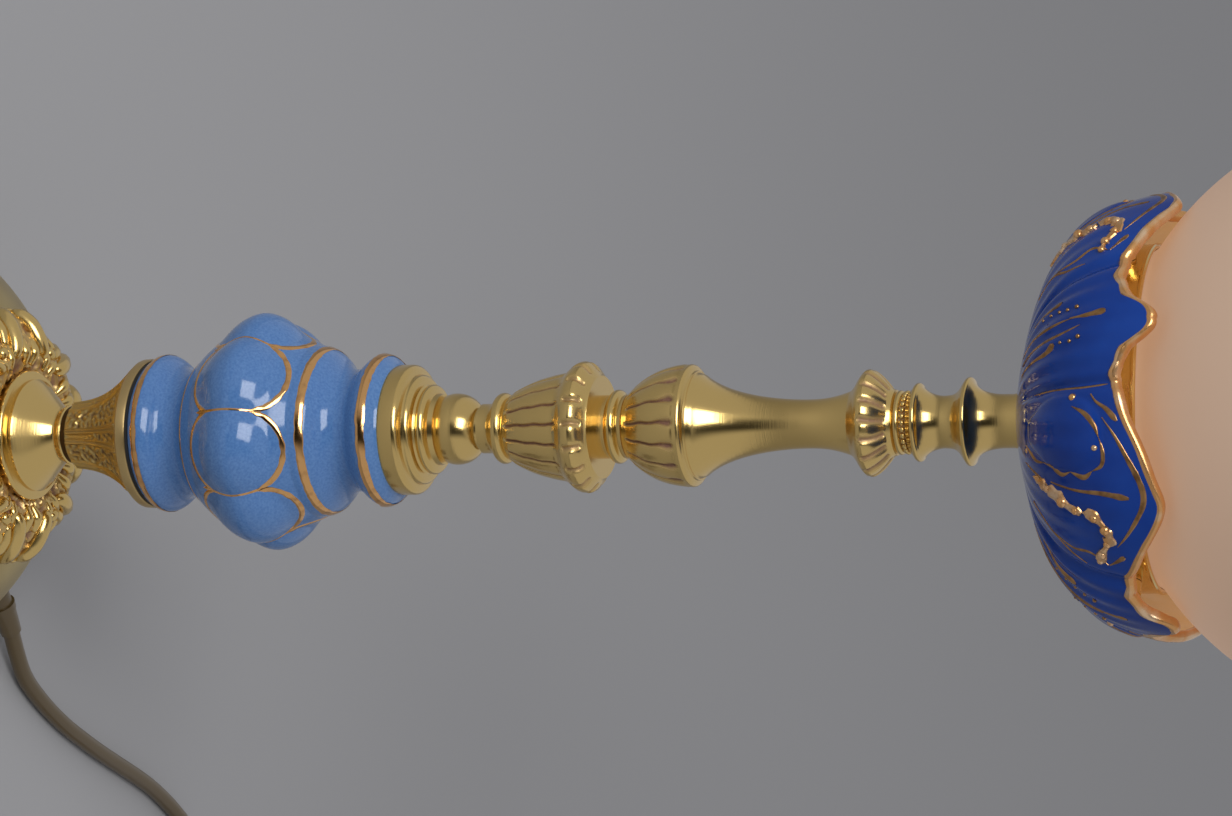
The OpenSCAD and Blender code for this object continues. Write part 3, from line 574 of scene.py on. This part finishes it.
# ---------------------------------------------------------------- vase
LOBE_COUNT = 8
LOBE_STEP = 360 / LOBE_COUNT
LOBE_MIDDLE = 10.5
LOBE_CENTRE_R = 18.0
LOBE_R = 21.0
LOBE_Z = 133.5
VASE_LOW_Z, VASE_TOP_Z, VASE_HOLE_R = 93, 179, 8
VASE_BODY = np.array([(23.6, 93), (24.4, 93.4), *bow((24.4, 93.4), (26.6, 96), (26.4, 98.4), (22.4, 101.6)),
                      *bow((22.4, 101.6), (20.6, 103.6), (20.2, 107.4), (22.2, 110)),
                      *bow((22.2, 110), (31, 118), (34, 124), (34.2, 133.5)),
                      *bow((34.2, 133.5), (34, 141), (30.6, 146), (27.9, 151)),
                      *bow((27.9, 151), (27.4, 155.5), (25.6, 157), (22.8, 159)),
                      *bow((22.8, 159), (19.2, 162), (19.2, 165.5), (20.6, 168)),
                      *bow((20.6, 168), (23.6, 171.2), (26, 173.6), (23.4, 176.4)),
                      (21.2, 178.2), (20.7, 179)])


def vase_radius(theta, z):
    """The turned body with eight rounded lobes swelling out of its belly."""
    body = np.interp(z, VASE_BODY[:, 1], VASE_BODY[:, 0])
    off = np.radians((theta - LOBE_MIDDLE + LOBE_STEP / 2) % LOBE_STEP - LOBE_STEP / 2)
    rise = z - LOBE_Z
    half = np.where(rise < 0, 18.5, 16.5)
    power = np.where(rise < 0, 1.7, 1.8)
    share = np.clip(1 - np.clip(np.abs(rise) / half, 0, 1) ** power, 1e-9, 1)
    ball = LOBE_R * share ** (1 / power)
    inside = ball ** 2 - (LOBE_CENTRE_R * np.sin(off)) ** 2
    lobe = np.where(inside > 0, LOBE_CENTRE_R * np.cos(off) + np.sqrt(np.maximum(inside, 0)), 0)
    blend = np.clip(1.4 - np.abs(lobe - body), 0, None)
    return np.maximum(lobe, body) + blend ** 2 / 5.6


def vase_point(theta, z):
    x, y = around(theta)
    r = vase_radius(theta, z)
    return np.stack([r * x, r * y, z + 0 * r], -1)


def make_vase():
    # The rows are closest together over the lobes.
    heights = np.concatenate([np.linspace(VASE_LOW_Z, 112, 50), np.linspace(112.5, 155, 130),
                              np.linspace(155.5, VASE_TOP_Z, 60)])
    theta, z = np.meshgrid(FINE_THETA, heights)
    outside = vase_point(theta, z)
    x, y = around(FINE_THETA)
    low, high = (np.stack([VASE_HOLE_R * x, VASE_HOLE_R * y, end + 0 * x], -1)[None]
                 for end in (VASE_LOW_Z, VASE_TOP_Z))
    shape = Shape()
    shape.grid(np.concatenate([low, outside, high]), close_rows=True)
    settle(shape.make("lobed_vase", sky_glaze, sharp=50), "stand", "porcelain_sky", "vase")


make_vase()


# ---------------------------------------------------------------- painted gold
def normals_on(surface, theta, z):
    """Outward unit normals of a surface given as a function of angle and height."""
    step = 0.05
    du = surface(theta + step, z) - surface(theta - step, z)
    dv = surface(theta, z + step) - surface(theta, z - step)
    n = np.cross(du, dv)
    return n / np.maximum(np.linalg.norm(n, axis=-1, keepdims=True), 1e-9)


def stroke(shape, surface, points, width, lift=0.16, taper="even", closed=False, steps=8, wobble=0.0):
    """A raised line of gold laid on a surface through (theta, z) points."""
    line = np.array(points, float) if closed else smooth_path(points, steps)
    here = surface(line[:, 0], line[:, 1])
    normal = normals_on(surface, line[:, 0], line[:, 1])
    if closed:
        along = np.roll(here, -1, 0) - np.roll(here, 1, 0)
    else:
        along = np.gradient(here, axis=0)
    side = np.cross(normal, along)
    side /= np.maximum(np.linalg.norm(side, axis=1, keepdims=True), 1e-9)
    t = np.linspace(0, 1, len(line))
    forms = {"even": np.clip(np.minimum(t, 1 - t) * 14, 0.15, 1) if not closed else 1 + 0 * t,
             "swell": np.sin(np.pi * np.clip(t, 0.02, 0.98)) ** 0.7,
             "drop": (0.22 + 0.78 * t ** 1.5) * np.clip((1 - t) * 9, 0.1, 1) ** 0.5}
    half = width / 2 * forms[taper]
    if wobble:
        half = half * (1 + wobble * np.array([noise.noise(Vector(p) / 2.5) for p in here]))
    rows = []
    for across, up in ((-1, -0.4), (-0.75, 0.55), (0, 1), (0.75, 0.55), (1, -0.4)):
        rows.append(here + side * (across * half)[:, None] + normal * (up * lift))
    # Rows run across the line, so the outward face has the surface's own direction.
    shape.grid(np.array(rows)[::-1], close_rows=False, close_cols=closed)


def ring_line(z, step=2.0):
    return [(a, z) for a in np.arange(0, 360, step)]


def make_vase_gold():
    shape = Shape()
    for z, width in ((95.9, 2.2), (112.0, 1.7), (154.9, 2.7), (174.8, 2.8)):
        stroke(shape, vase_point, ring_line(z), width, closed=True, wobble=0.25)
    for i in range(LOBE_COUNT):
        middle = LOBE_MIDDLE + LOBE_STEP * i
        seam = middle + LOBE_STEP / 2
        stroke(shape, vase_point, [(seam, z) for z in (121.5, 128, 135, 142)], 2.0, wobble=0.3)
        # Each lobe is ringed above and below by half an ellipse that runs into its seams.
        turns = [math.radians(180 * k / 16) for k in range(17)]
        over = [(middle - 21.9 * math.cos(t), 141 + 9 * math.sin(t)) for t in turns]
        under = [(middle - 21.9 * math.cos(t), 126 - 7.4 * math.sin(t)) for t in turns]
        stroke(shape, vase_point, over, 2.1, wobble=0.3, steps=4)
        stroke(shape, vase_point, under, 1.7, wobble=0.3, steps=4)
    settle(shape.make("vase_gold", gold_paint, sharp=80), "stand", "brass_dark")


make_vase_gold()

# ---------------------------------------------------------------- column above the vase
turned("cap", [(20.7, 179), (20.9, 179.6), (20.9, 183.2), *arc((18.8, 183.6), 2.1, 0, 90, 10), (17.8, 186),
               *arc((15.8, 186.5), 1.8, 0, 90, 8), (14.4, 188.5), *arc((12.8, 190.4), 1.6, -50, 90, 10),
               (11.6, 192.4), (11.2, 194)], turned_brass, "brass_turned", "vase_cap")
turned("ball", [(10.2, 194), *arc((2.6, 198.6), 8.8, -26, 62, 24), (6.6, 207), (7.4, 207.5)], turned_brass,
       "brass_turned", "ball_knop")
turned("collar_low", [(7.9, 207.5), (7.9, 210), *bow((7.9, 210), (8, 211.4), (8.8, 212), (9, 212.5), 6)],
       turned_brass, "brass_turned", "neck_collar")

REED_COUNT = 16
REED_STEP = 360 / REED_COUNT
REED_START = -4.0


def groove(theta, r, z, width):
    """1 in the middle of the groove between two reeds, falling to 0 over its width."""
    waver = 0.5 * np.sin(0.9 * z + 2.1 * np.round((theta - REED_START) / REED_STEP))
    away = np.abs((theta + waver - REED_START + REED_STEP / 2) % REED_STEP - REED_STEP / 2)
    return np.exp(-(np.radians(away) * r / width) ** 2), away / (REED_STEP / 2)


def bell_relief(theta, r, z):
    cut, across = groove(theta, r, z, 0.42)
    along = window(z, 219.4, 236.5, 1.5)
    scoop, _ = groove(theta, r, z, 1.0)
    edge = window(z, 241.0, 245.2, 1.2)
    crown = (1 - (1 - across) ** 2) * 0.35 * along
    offset = crown - 0.85 * cut * along - 1.1 * scoop * edge
    return offset, np.clip(cut * along * 1.2 + scoop * edge * 0.6, 0, 1)


turned("bell", [(8.6, 212.5), *arc((9.2, 214.7), 2.1, -70, 70, 14), (10.4, 217.2),
                *bow((10.6, 217.6), (13, 222.2), (15.2, 226), (17, 236.4), 44),
                *bow((17, 236.4), (18.4, 238.4), (20.9, 239.8), (20.8, 242.6), 18),
                *bow((20.8, 242.6), (20.6, 244.6), (18.4, 245.4), (16.6, 247), 18), (16.2, 247.5)],
       cast_brass, "brass_cast", "reeded_bell", relief=bell_relief, segments=448)
turned("collar_high", [(10, 247.5), (10, 250.9), *arc((9.9, 253), 1.75, -75, 75, 14), (9.9, 255.2),
                       (10.2, 256.5)],
       turned_brass, "brass_turned", "bell_collar")


def bulb_relief(theta, r, z):
    cut, across = groove(theta, r, z, 0.42 + 0.65 * np.exp(-((z - 274.6) / 2.6) ** 2))
    along = window(z, 259.4, 275.4, 1.1)
    crown = (1 - (1 - across) ** 2) * 0.3 * along
    return crown - 0.9 * cut * along, np.clip(cut * along * 1.2, 0, 1)


turned("bulb_knop", [(10, 256.5), *bow((10.4, 256.8), (14.4, 261.6), (18.4, 266.6), (19, 276.6), 48),
                     *bow((19.1, 276.8), (19.3, 277.8), (18.8, 278.4), (18, 278.7), 8),
                     (17.2, 279), (17, 279.6)],
       cast_brass, "brass_cast", "reeded_bulb", relief=bulb_relief, segments=448)
turned("trumpet", [(16.6, 279.6), (16.2, 280.4), (15.9, 281.2),
                   *bow((15.9, 281.2), (12, 286), (8.6, 295), (7.7, 310), 48),
                   *bow((7.7, 310), (7.4, 317), (7.4, 322), (10.2, 329), 30)],
       turned_brass, "brass_turned", "trumpet_stem")


def flower_relief(theta, r, z):
    cut, across = groove(theta, r, z, 1.1)
    along = window(z, 334.4, 340.4, 1.0)
    return -0.95 * cut * along, np.clip(cut * along * 0.8, 0, 1)


turned("flower", [(10.4, 329), *bow((10.4, 329), (12.2, 331), (15.2, 331.8), (16.4, 333.8), 12),
                  (16.5, 334.6), *bow((16.5, 334.8), (15.7, 337.2), (13, 339.4), (10.4, 341.4), 24),
                  (10, 342.6)],
       cast_brass, "brass_cast", "flower_collar", relief=flower_relief, segments=448)


BEAD_COUNT = 28


def make_beads():
    outline = [(BORE_R, 342.6), (9.2, 342.6), *arc((8.7, 343.9), 1.15, -60, 60, 8), (8.8, 345.1),
               (8.8, 346.9), (8.5, 347.2), (BORE_R, 347.2)]
    columns = 96
    x, y = around(np.arange(columns) * 360 / columns)
    line = np.array(outline)
    shape = Shape()
    shape.grid(np.stack([line[:, :1] * x, line[:, :1] * y, line[:, 1:] + 0 * x], -1),
               np.where((line[:, 1:] > 345) & (line[:, 1:] < 347), 0.7, 0) + 0 * x, close_rows=True)
    for i in range(BEAD_COUNT):
        bx, by = around(i * 360 / BEAD_COUNT)
        shape.ball((8.9 * bx, 8.9 * by, 346), 0.92, sides=12)
    settle(shape.make("bead_ring", cast_brass), "stand", "brass_cast", "beaded_ring")


make_beads()
turned("bobbin_low", [(9.6, 347.2), *arc((11.1, 349.6), 0.95, -80, 80, 12),
                      *bow((11.1, 350.5), (8.9, 352.4), (8.05, 355), (8, 357.6), 20),
                      (8.2, 359.6), (8.3, 360)],
       turned_brass, "brass_turned", "lower_bobbin")
turned("bobbin_high", [(8.3, 360), *bow((8.3, 360), (9, 362.4), (11.4, 363.2), (12.7, 364.3), 12),
                       *arc((12.6, 365.4), 0.95, -60, 85, 12),
                       *bow((12.7, 366.4), (9.6, 367.4), (8.4, 371), (8.2, 375.4), 24),
                       (8.2, 379), (8.6, 380.6), (8.6, 381.6)],
       turned_brass, "brass_turned", "upper_bobbin")

# ---------------------------------------------------------------- petal cup
CUP_SEAT_Z = 381.6
CUP_FLOOR_Z = 385.6
CUP_CURVE = ((12, CUP_SEAT_Z), (40, 388.5), (66, 394), (67.6, 432.6))
CUP_WALL = 3.2
# Height of the rim at the creases between petals.
CREASE_Z = 419.8
PETAL_STEP = 90.0
NARROW_FROM, NARROW_TIP = -45.0, -25.4
WIDE_FROM, WIDE_TIP = -10.0, 20.5
cup_share = np.linspace(0, 1, 600)
cup_line = np.array([cubic(*CUP_CURVE, t) for t in cup_share])


def petal_angle(theta):
    """The angle brought into one pair of petals, from -45 to 45 degrees."""
    return (theta - NARROW_FROM) % PETAL_STEP + NARROW_FROM


def rim_height(theta):
    a = petal_angle(theta)
    narrow = 419.6 + 10.9 * np.exp(-((a - NARROW_TIP) / 6.7) ** 2)
    narrow = narrow + 0.9 * (np.abs(np.sin(np.radians((a - NARROW_TIP) * 26))) - 0.5)
    # The wide petal rises slowly to its tip and drops faster beyond it.
    reach = np.sqrt((a - WIDE_TIP) ** 2 + 9) - 3
    wide = CREASE_Z + 12.4 * np.where(a < WIDE_TIP, np.clip(1 - reach / 28, 0, 1) ** 1.15,
                                   np.clip(1 - reach / 20.4, 0, 1) ** 0.95)
    wide = wide + 0.3 * np.sin(np.radians((a - WIDE_TIP) * 20))
    # Both meet at the creases.
    meet = np.clip(np.minimum(np.abs(a - WIDE_FROM), 45 - np.abs(a)) / 2.5, 0, 1)
    return CREASE_Z + (np.where(a < WIDE_FROM, narrow, wide) - CREASE_Z) * meet


def cup_relief(theta, z):
    """Petals arch between their creases and carry fine ridges and a raised shell."""
    a = petal_angle(theta)
    narrow = a < WIDE_FROM
    t = np.where(narrow, (a - NARROW_FROM) / (WIDE_FROM - NARROW_FROM),
                 (a - WIDE_FROM) / (45 - WIDE_FROM))
    crease = np.minimum(np.abs(a - WIDE_FROM), np.minimum(np.abs(a - 45), np.abs(a + 45)))
    fade = np.clip((z - 384) / 10, 0, 1)
    arch = -1.5 * (1 - np.sin(np.pi * np.clip(t, 0, 1))) * fade - 0.9 * np.exp(-(crease / 1.7) ** 2) * fade
    ridges = np.cos(np.radians(a * np.where(narrow, 62, 50))) * np.clip((424 - z) / 16, 0, 1) * fade
    ridges = ridges * np.where(narrow, 0.28, 0.16)
    shell = np.clip(1 - ((a - 3) / 10.5) ** 2 - ((z - 404) / 12.5) ** 2, 0, 1) ** 0.5
    return arch + ridges + 1.7 * shell * ~narrow


def cup_normal(share):
    """The outward direction (r, z) of the cup's curve, a share of the way along it."""
    d = np.gradient(cup_line, axis=0)
    d /= np.linalg.norm(d, axis=1, keepdims=True)
    r = np.interp(share, cup_share, d[:, 1])
    z = np.interp(share, cup_share, -d[:, 0])
    return r, z


def cup_point(theta, z, inward=0.0):
    """A point of the cup's outside at a height, or that far inwards from it."""
    share = np.interp(z, cup_line[:, 1], cup_share)
    r = np.interp(share, cup_share, cup_line[:, 0])
    out_r, out_z = cup_normal(share)
    off = cup_relief(theta, z) * (1.0 if inward == 0 else 0.6) - inward
    x, y = around(theta)
    rr = r + off * out_r
    return np.stack([rr * x, rr * y, z + off * out_z], -1)


def make_cup():
    columns, rows = 720, 70
    theta = np.arange(columns) * 360 / columns
    top = rim_height(theta)
    share_top = np.interp(top, cup_line[:, 1], cup_share)
    share = 0.004 + (share_top[None] - 0.004) * np.linspace(0, 1, rows)[:, None] ** 0.85
    z = np.interp(share, cup_share, cup_line[:, 1])
    grid_theta = theta[None] + 0 * z
    outside = cup_point(grid_theta, z)
    inside = cup_point(grid_theta, z, CUP_WALL)
    inside[..., 2] = np.maximum(inside[..., 2], CUP_FLOOR_Z)
    x, y = around(theta)
    hole_low, hole_high = (np.stack([BORE_R * x, BORE_R * y, end + 0 * x], -1)[None]
                           for end in (CUP_SEAT_Z, CUP_FLOOR_Z))
    shape = Shape()
    shape.grid(np.concatenate([hole_low, outside]), kind=0)
    # The inside takes the cream glaze with its painted warm glow.
    shape.grid(np.concatenate([outside[-1:], inside[::-1], hole_high, hole_low]), kind=1)
    piece = shape.make("petal_bowl", cobalt_glaze, cream_glaze_painted_glow, sharp=60)
    settle(piece, "stand", "porcelain_cobalt", "petal_cup")


def blob(shape, theta, z, size, lift=0.4):
    spot = cup_point(np.array([theta], float), np.array([z], float))[0]
    n = normals_on(cup_point, np.array([theta], float), np.array([z], float))[0]
    shape.ball(spot + n * lift, size, sides=14)


def make_cup_gold():
    paint, cast = Shape(), Shape()
    for turn in (0, 90, 180, 270):
        def on(points):
            return [(a + turn, z) for a, z in points]

        def line(points, width, taper="swell", lift=0.22):
            stroke(paint, cup_point, on(points), width, lift=lift, taper=taper, wobble=0.2)

        # Wide petal: scalloped line round the shell, rim line, drop strokes.
        line([(-4, 408), (-2, 412), (1, 414.8), (4, 416)], 1.6)
        line([(4, 416), (8, 417), (11, 416.4), (12.6, 413.6)], 1.4)
        line([(12.6, 413.6), (14.4, 411), (13.4, 407)], 1.6)
        line([(13.4, 407), (14.6, 404), (13, 401), (12.6, 398)], 1.5)
        line([(12.6, 398), (13, 395), (11.5, 392.6), (9.5, 390.4)], 1.3)
        line([(-1, 416.8), (4, 420.8), (9, 424), (13, 426.4), (17, 428), (20.5, 427.8), (24.5, 425.6),
              (29, 422.4), (33, 419)], 1.9)
        line([(-7, 413.2), (-5, 414.8), (-3, 418), (0, 421.2)], 2.3, "drop")
        line([(18, 400), (18.4, 408), (18.2, 416), (19, 424)], 2.6, "drop")
        line([(17, 390), (18.4, 395.6), (21, 401)], 1.3)
        # Second crest beyond the beads, and double lines down to the seat.
        line([(36, 397), (38, 404), (37, 410), (40, 415)], 1.1)
        line([(33, 391), (36, 397), (40, 402), (42, 408)], 1.0)
        line([(40, 415.4), (38.4, 417.6), (36, 420.6)], 2.2, "drop")
        # Narrow petal: fans of drops and dots.
        line([(-22, 388), (-21.4, 394), (-21.2, 398), (-22.6, 401.6)], 2.4, "drop")
        line([(-27, 388), (-25.4, 396), (-25, 403), (-26, 409.6)], 1.2)
        line([(-38, 392), (-36, 397), (-35.6, 403)], 2.6, "drop")
        line([(-31, 388), (-29, 397), (-28.4, 407)], 1.1)
        line([(-28.6, 406.6), (-28.2, 411.6), (-28.4, 417.4)], 2.6, "drop")
        for a, z, size in ((-34, 396.6, 0.45), (-33.4, 399.4, 0.5), (-32.8, 402.2, 0.55), (-32.2, 405, 0.6),
                           (-32, 408, 0.7), (-22.8, 400.6, 0.45), (-22.4, 403.6, 0.5), (-22, 406.6, 0.6),
                           (-22.6, 409.4, 0.7)):
            blob(paint, a + turn, z, size, lift=0.0)
        # Raised beads and the C-scroll between the wide petal and the next.
        for points, width in (([(19, 394), (20.4, 398.6), (22, 402.6), (24, 406), (24.4, 409.6)], 3.4),
                              ([(24, 410), (25, 413), (27.6, 415.8), (30.6, 417), (33.4, 415.6)], 3.3),
                              ([(33, 416), (36, 414), (39.4, 412.6)], 3.0)):
            stroke(cast, cup_point, on(points), width, lift=0.9, wobble=1.1, steps=10)
        for a, z, size in ((20.6, 399, 1.2), (22.8, 403.6, 1.7), (24.4, 407.4, 1.2), (25.4, 413, 1.3),
                           (28.2, 416, 1.5), (32.6, 416, 1.2), (36.4, 413.8, 1.4), (39, 412.8, 1.1)):
            blob(cast, a + turn, z, size, lift=0.2)
        for a, z, size in ((-6.6, 407.6, 1.2), (6.6, 414.8, 1.0), (11.6, 390.6, 1.0)):
            blob(cast, a + turn, z, size, lift=-0.5)
        line([(-9.8, 392), (-9.4, 400), (-9, 410), (-9.4, 418)], 0.8, "even")
    settle(paint.make("cup_gold", dull_gold, sharp=80), "stand", "brass_dark")
    settle(cast.make("cup_beads", rim_gold), "stand", "brass_dark")


def make_rim():
    """Thick gold edge that follows the wavy rim."""
    count = 720
    theta = np.arange(count) * 360 / count
    top = rim_height(theta)
    outer = cup_point(theta, top)
    inner = cup_point(theta, top, CUP_WALL)
    middle = (outer + inner) / 2
    a = petal_angle(theta)
    swell = np.where(a < WIDE_FROM, 0.3 * np.abs(np.sin(np.radians((a - NARROW_TIP) * 26 + 90))), 0.1)
    size = 1.45 + swell + np.array([0.18 * noise.noise(Vector(p) / 5) for p in middle])
    out = outer - inner
    out /= np.linalg.norm(out, axis=1, keepdims=True)
    up = np.array([0, 0, 1.0])
    sides = np.radians(np.arange(14) * 360 / 14)
    ring = middle[None] + size[None, :, None] * (
        np.cos(sides)[:, None, None] * out[None] * 1.12 + np.sin(sides)[:, None, None] * up)
    shape = Shape()
    shape.grid(ring, close_rows=True)
    settle(shape.make("gold_rim", rim_gold), "stand", "brass_dark")


make_cup()
make_cup_gold()
make_rim()

# ---------------------------------------------------------------- globe
GLOBE_Z, GLOBE_R, GLOBE_WALL, GLOBE_NECK_R, GLOBE_NECK_Z = 499.0, 90.0, 3.0, 49.5, 412.0
GLOBE_COLUMNS = 160


def make_globe():
    join = math.degrees(math.asin(74.0 / GLOBE_R))
    inner_r = GLOBE_R - GLOBE_WALL
    inner_join = math.degrees(math.acos((GLOBE_NECK_R - GLOBE_WALL) / inner_r))
    outside = [(GLOBE_NECK_R, GLOBE_NECK_Z), (GLOBE_NECK_R, 422.4),
               *arc((0, GLOBE_Z), GLOBE_R, -join, 89.6, 72)]
    inside = [*arc((0, GLOBE_Z), inner_r, 89.6, -inner_join, 72),
              (GLOBE_NECK_R - GLOBE_WALL, GLOBE_NECK_Z)]
    x, y = around(np.arange(GLOBE_COLUMNS) * 360 / GLOBE_COLUMNS)
    shape = Shape()

    def ringed(outline):
        outline = np.array(outline)
        return np.stack([outline[:, :1] * x, outline[:, :1] * y, outline[:, 1:] + 0 * x], -1)

    start = shape.grid(ringed(outside))
    shape.cap(start + (len(outside) - 1) * GLOBE_COLUMNS, GLOBE_COLUMNS, True)
    shape.grid(ringed([inside[-1], outside[0]]))
    inner_start = shape.grid(ringed(inside))
    shape.cap(inner_start, GLOBE_COLUMNS, False)
    settle(shape.make("ball_globe", opal), "globe", "opal_glass", "globe", "globe_neck")


make_globe()


# ---------------------------------------------------------------- floor and light
def make_floor():
    mesh = bpy.data.meshes.new("floor")
    half = 6.0
    corners = [(-half, -half, 0), (half, -half, 0), (half, half, 0), (-half, half, 0)]
    mesh.from_pydata(corners, [], [(0, 1, 2, 3)])
    floor = bpy.data.objects.new("floor", mesh)
    bpy.context.scene.collection.objects.link(floor)
    mesh.materials.append(shader("floor_grey", (0.40, 0.40, 0.41), rough=0.8))


def make_light(name, place_m, toward, width, height, power, color=(1, 1, 1)):
    data = bpy.data.lights.new(name, "AREA")
    data.shape = "RECTANGLE"
    data.size, data.size_y = width, height
    data.energy = power
    data.color = color
    lamp = bpy.data.objects.new(name, data)
    lamp.location = place_m
    lamp.rotation_euler = (Vector(toward) - Vector(place_m)).to_track_quat("-Z", "Y").to_euler()
    bpy.context.scene.collection.objects.link(lamp)


make_floor()
make_light("window", (-0.58, -1.28, 1.44), (0, 0, 0.15), 0.95, 0.95, 19)


def make_world():
    """An even bright room, darker in an upright strip behind the camera."""
    world = bpy.data.worlds.new("studio")
    world.use_nodes = True
    nodes, links = world.node_tree.nodes, world.node_tree.links
    where = nodes.new("ShaderNodeTexCoord")
    part = nodes.new("ShaderNodeSeparateXYZ")
    links.new(where.outputs["Generated"], part.inputs["Vector"])
    aside = nodes.new("ShaderNodeMath")
    aside.operation = "ABSOLUTE"
    links.new(part.outputs["X"], aside.inputs[0])
    bright = None
    # Beside the strip, behind the lamp and overhead the room is bright.
    for output, start, end in ((aside.outputs["Value"], 0.16, 0.55), (part.outputs["Y"], -0.5, 0.0),
                               (part.outputs["Z"], 0.72, 0.95)):
        ramp = nodes.new("ShaderNodeMapRange")
        ramp.interpolation_type = "SMOOTHSTEP"
        for socket, value in (("From Min", start), ("From Max", end), ("To Min", 0.015), ("To Max", 0.46)):
            ramp.inputs[socket].default_value = value
        links.new(output, ramp.inputs["Value"])
        if bright:
            most = nodes.new("ShaderNodeMath")
            most.operation = "MAXIMUM"
            links.new(bright, most.inputs[0])
            links.new(ramp.outputs["Result"], most.inputs[1])
            bright = most.outputs["Value"]
        else:
            bright = ramp.outputs["Result"]
    links.new(bright, nodes["Background"].inputs["Strength"])
    nodes["Background"].inputs["Color"].default_value = (1.0, 1.0, 1.03, 1)
    bpy.context.scene.world = world


make_world()
bpy.context.scene.view_settings.view_transform = "Standard"
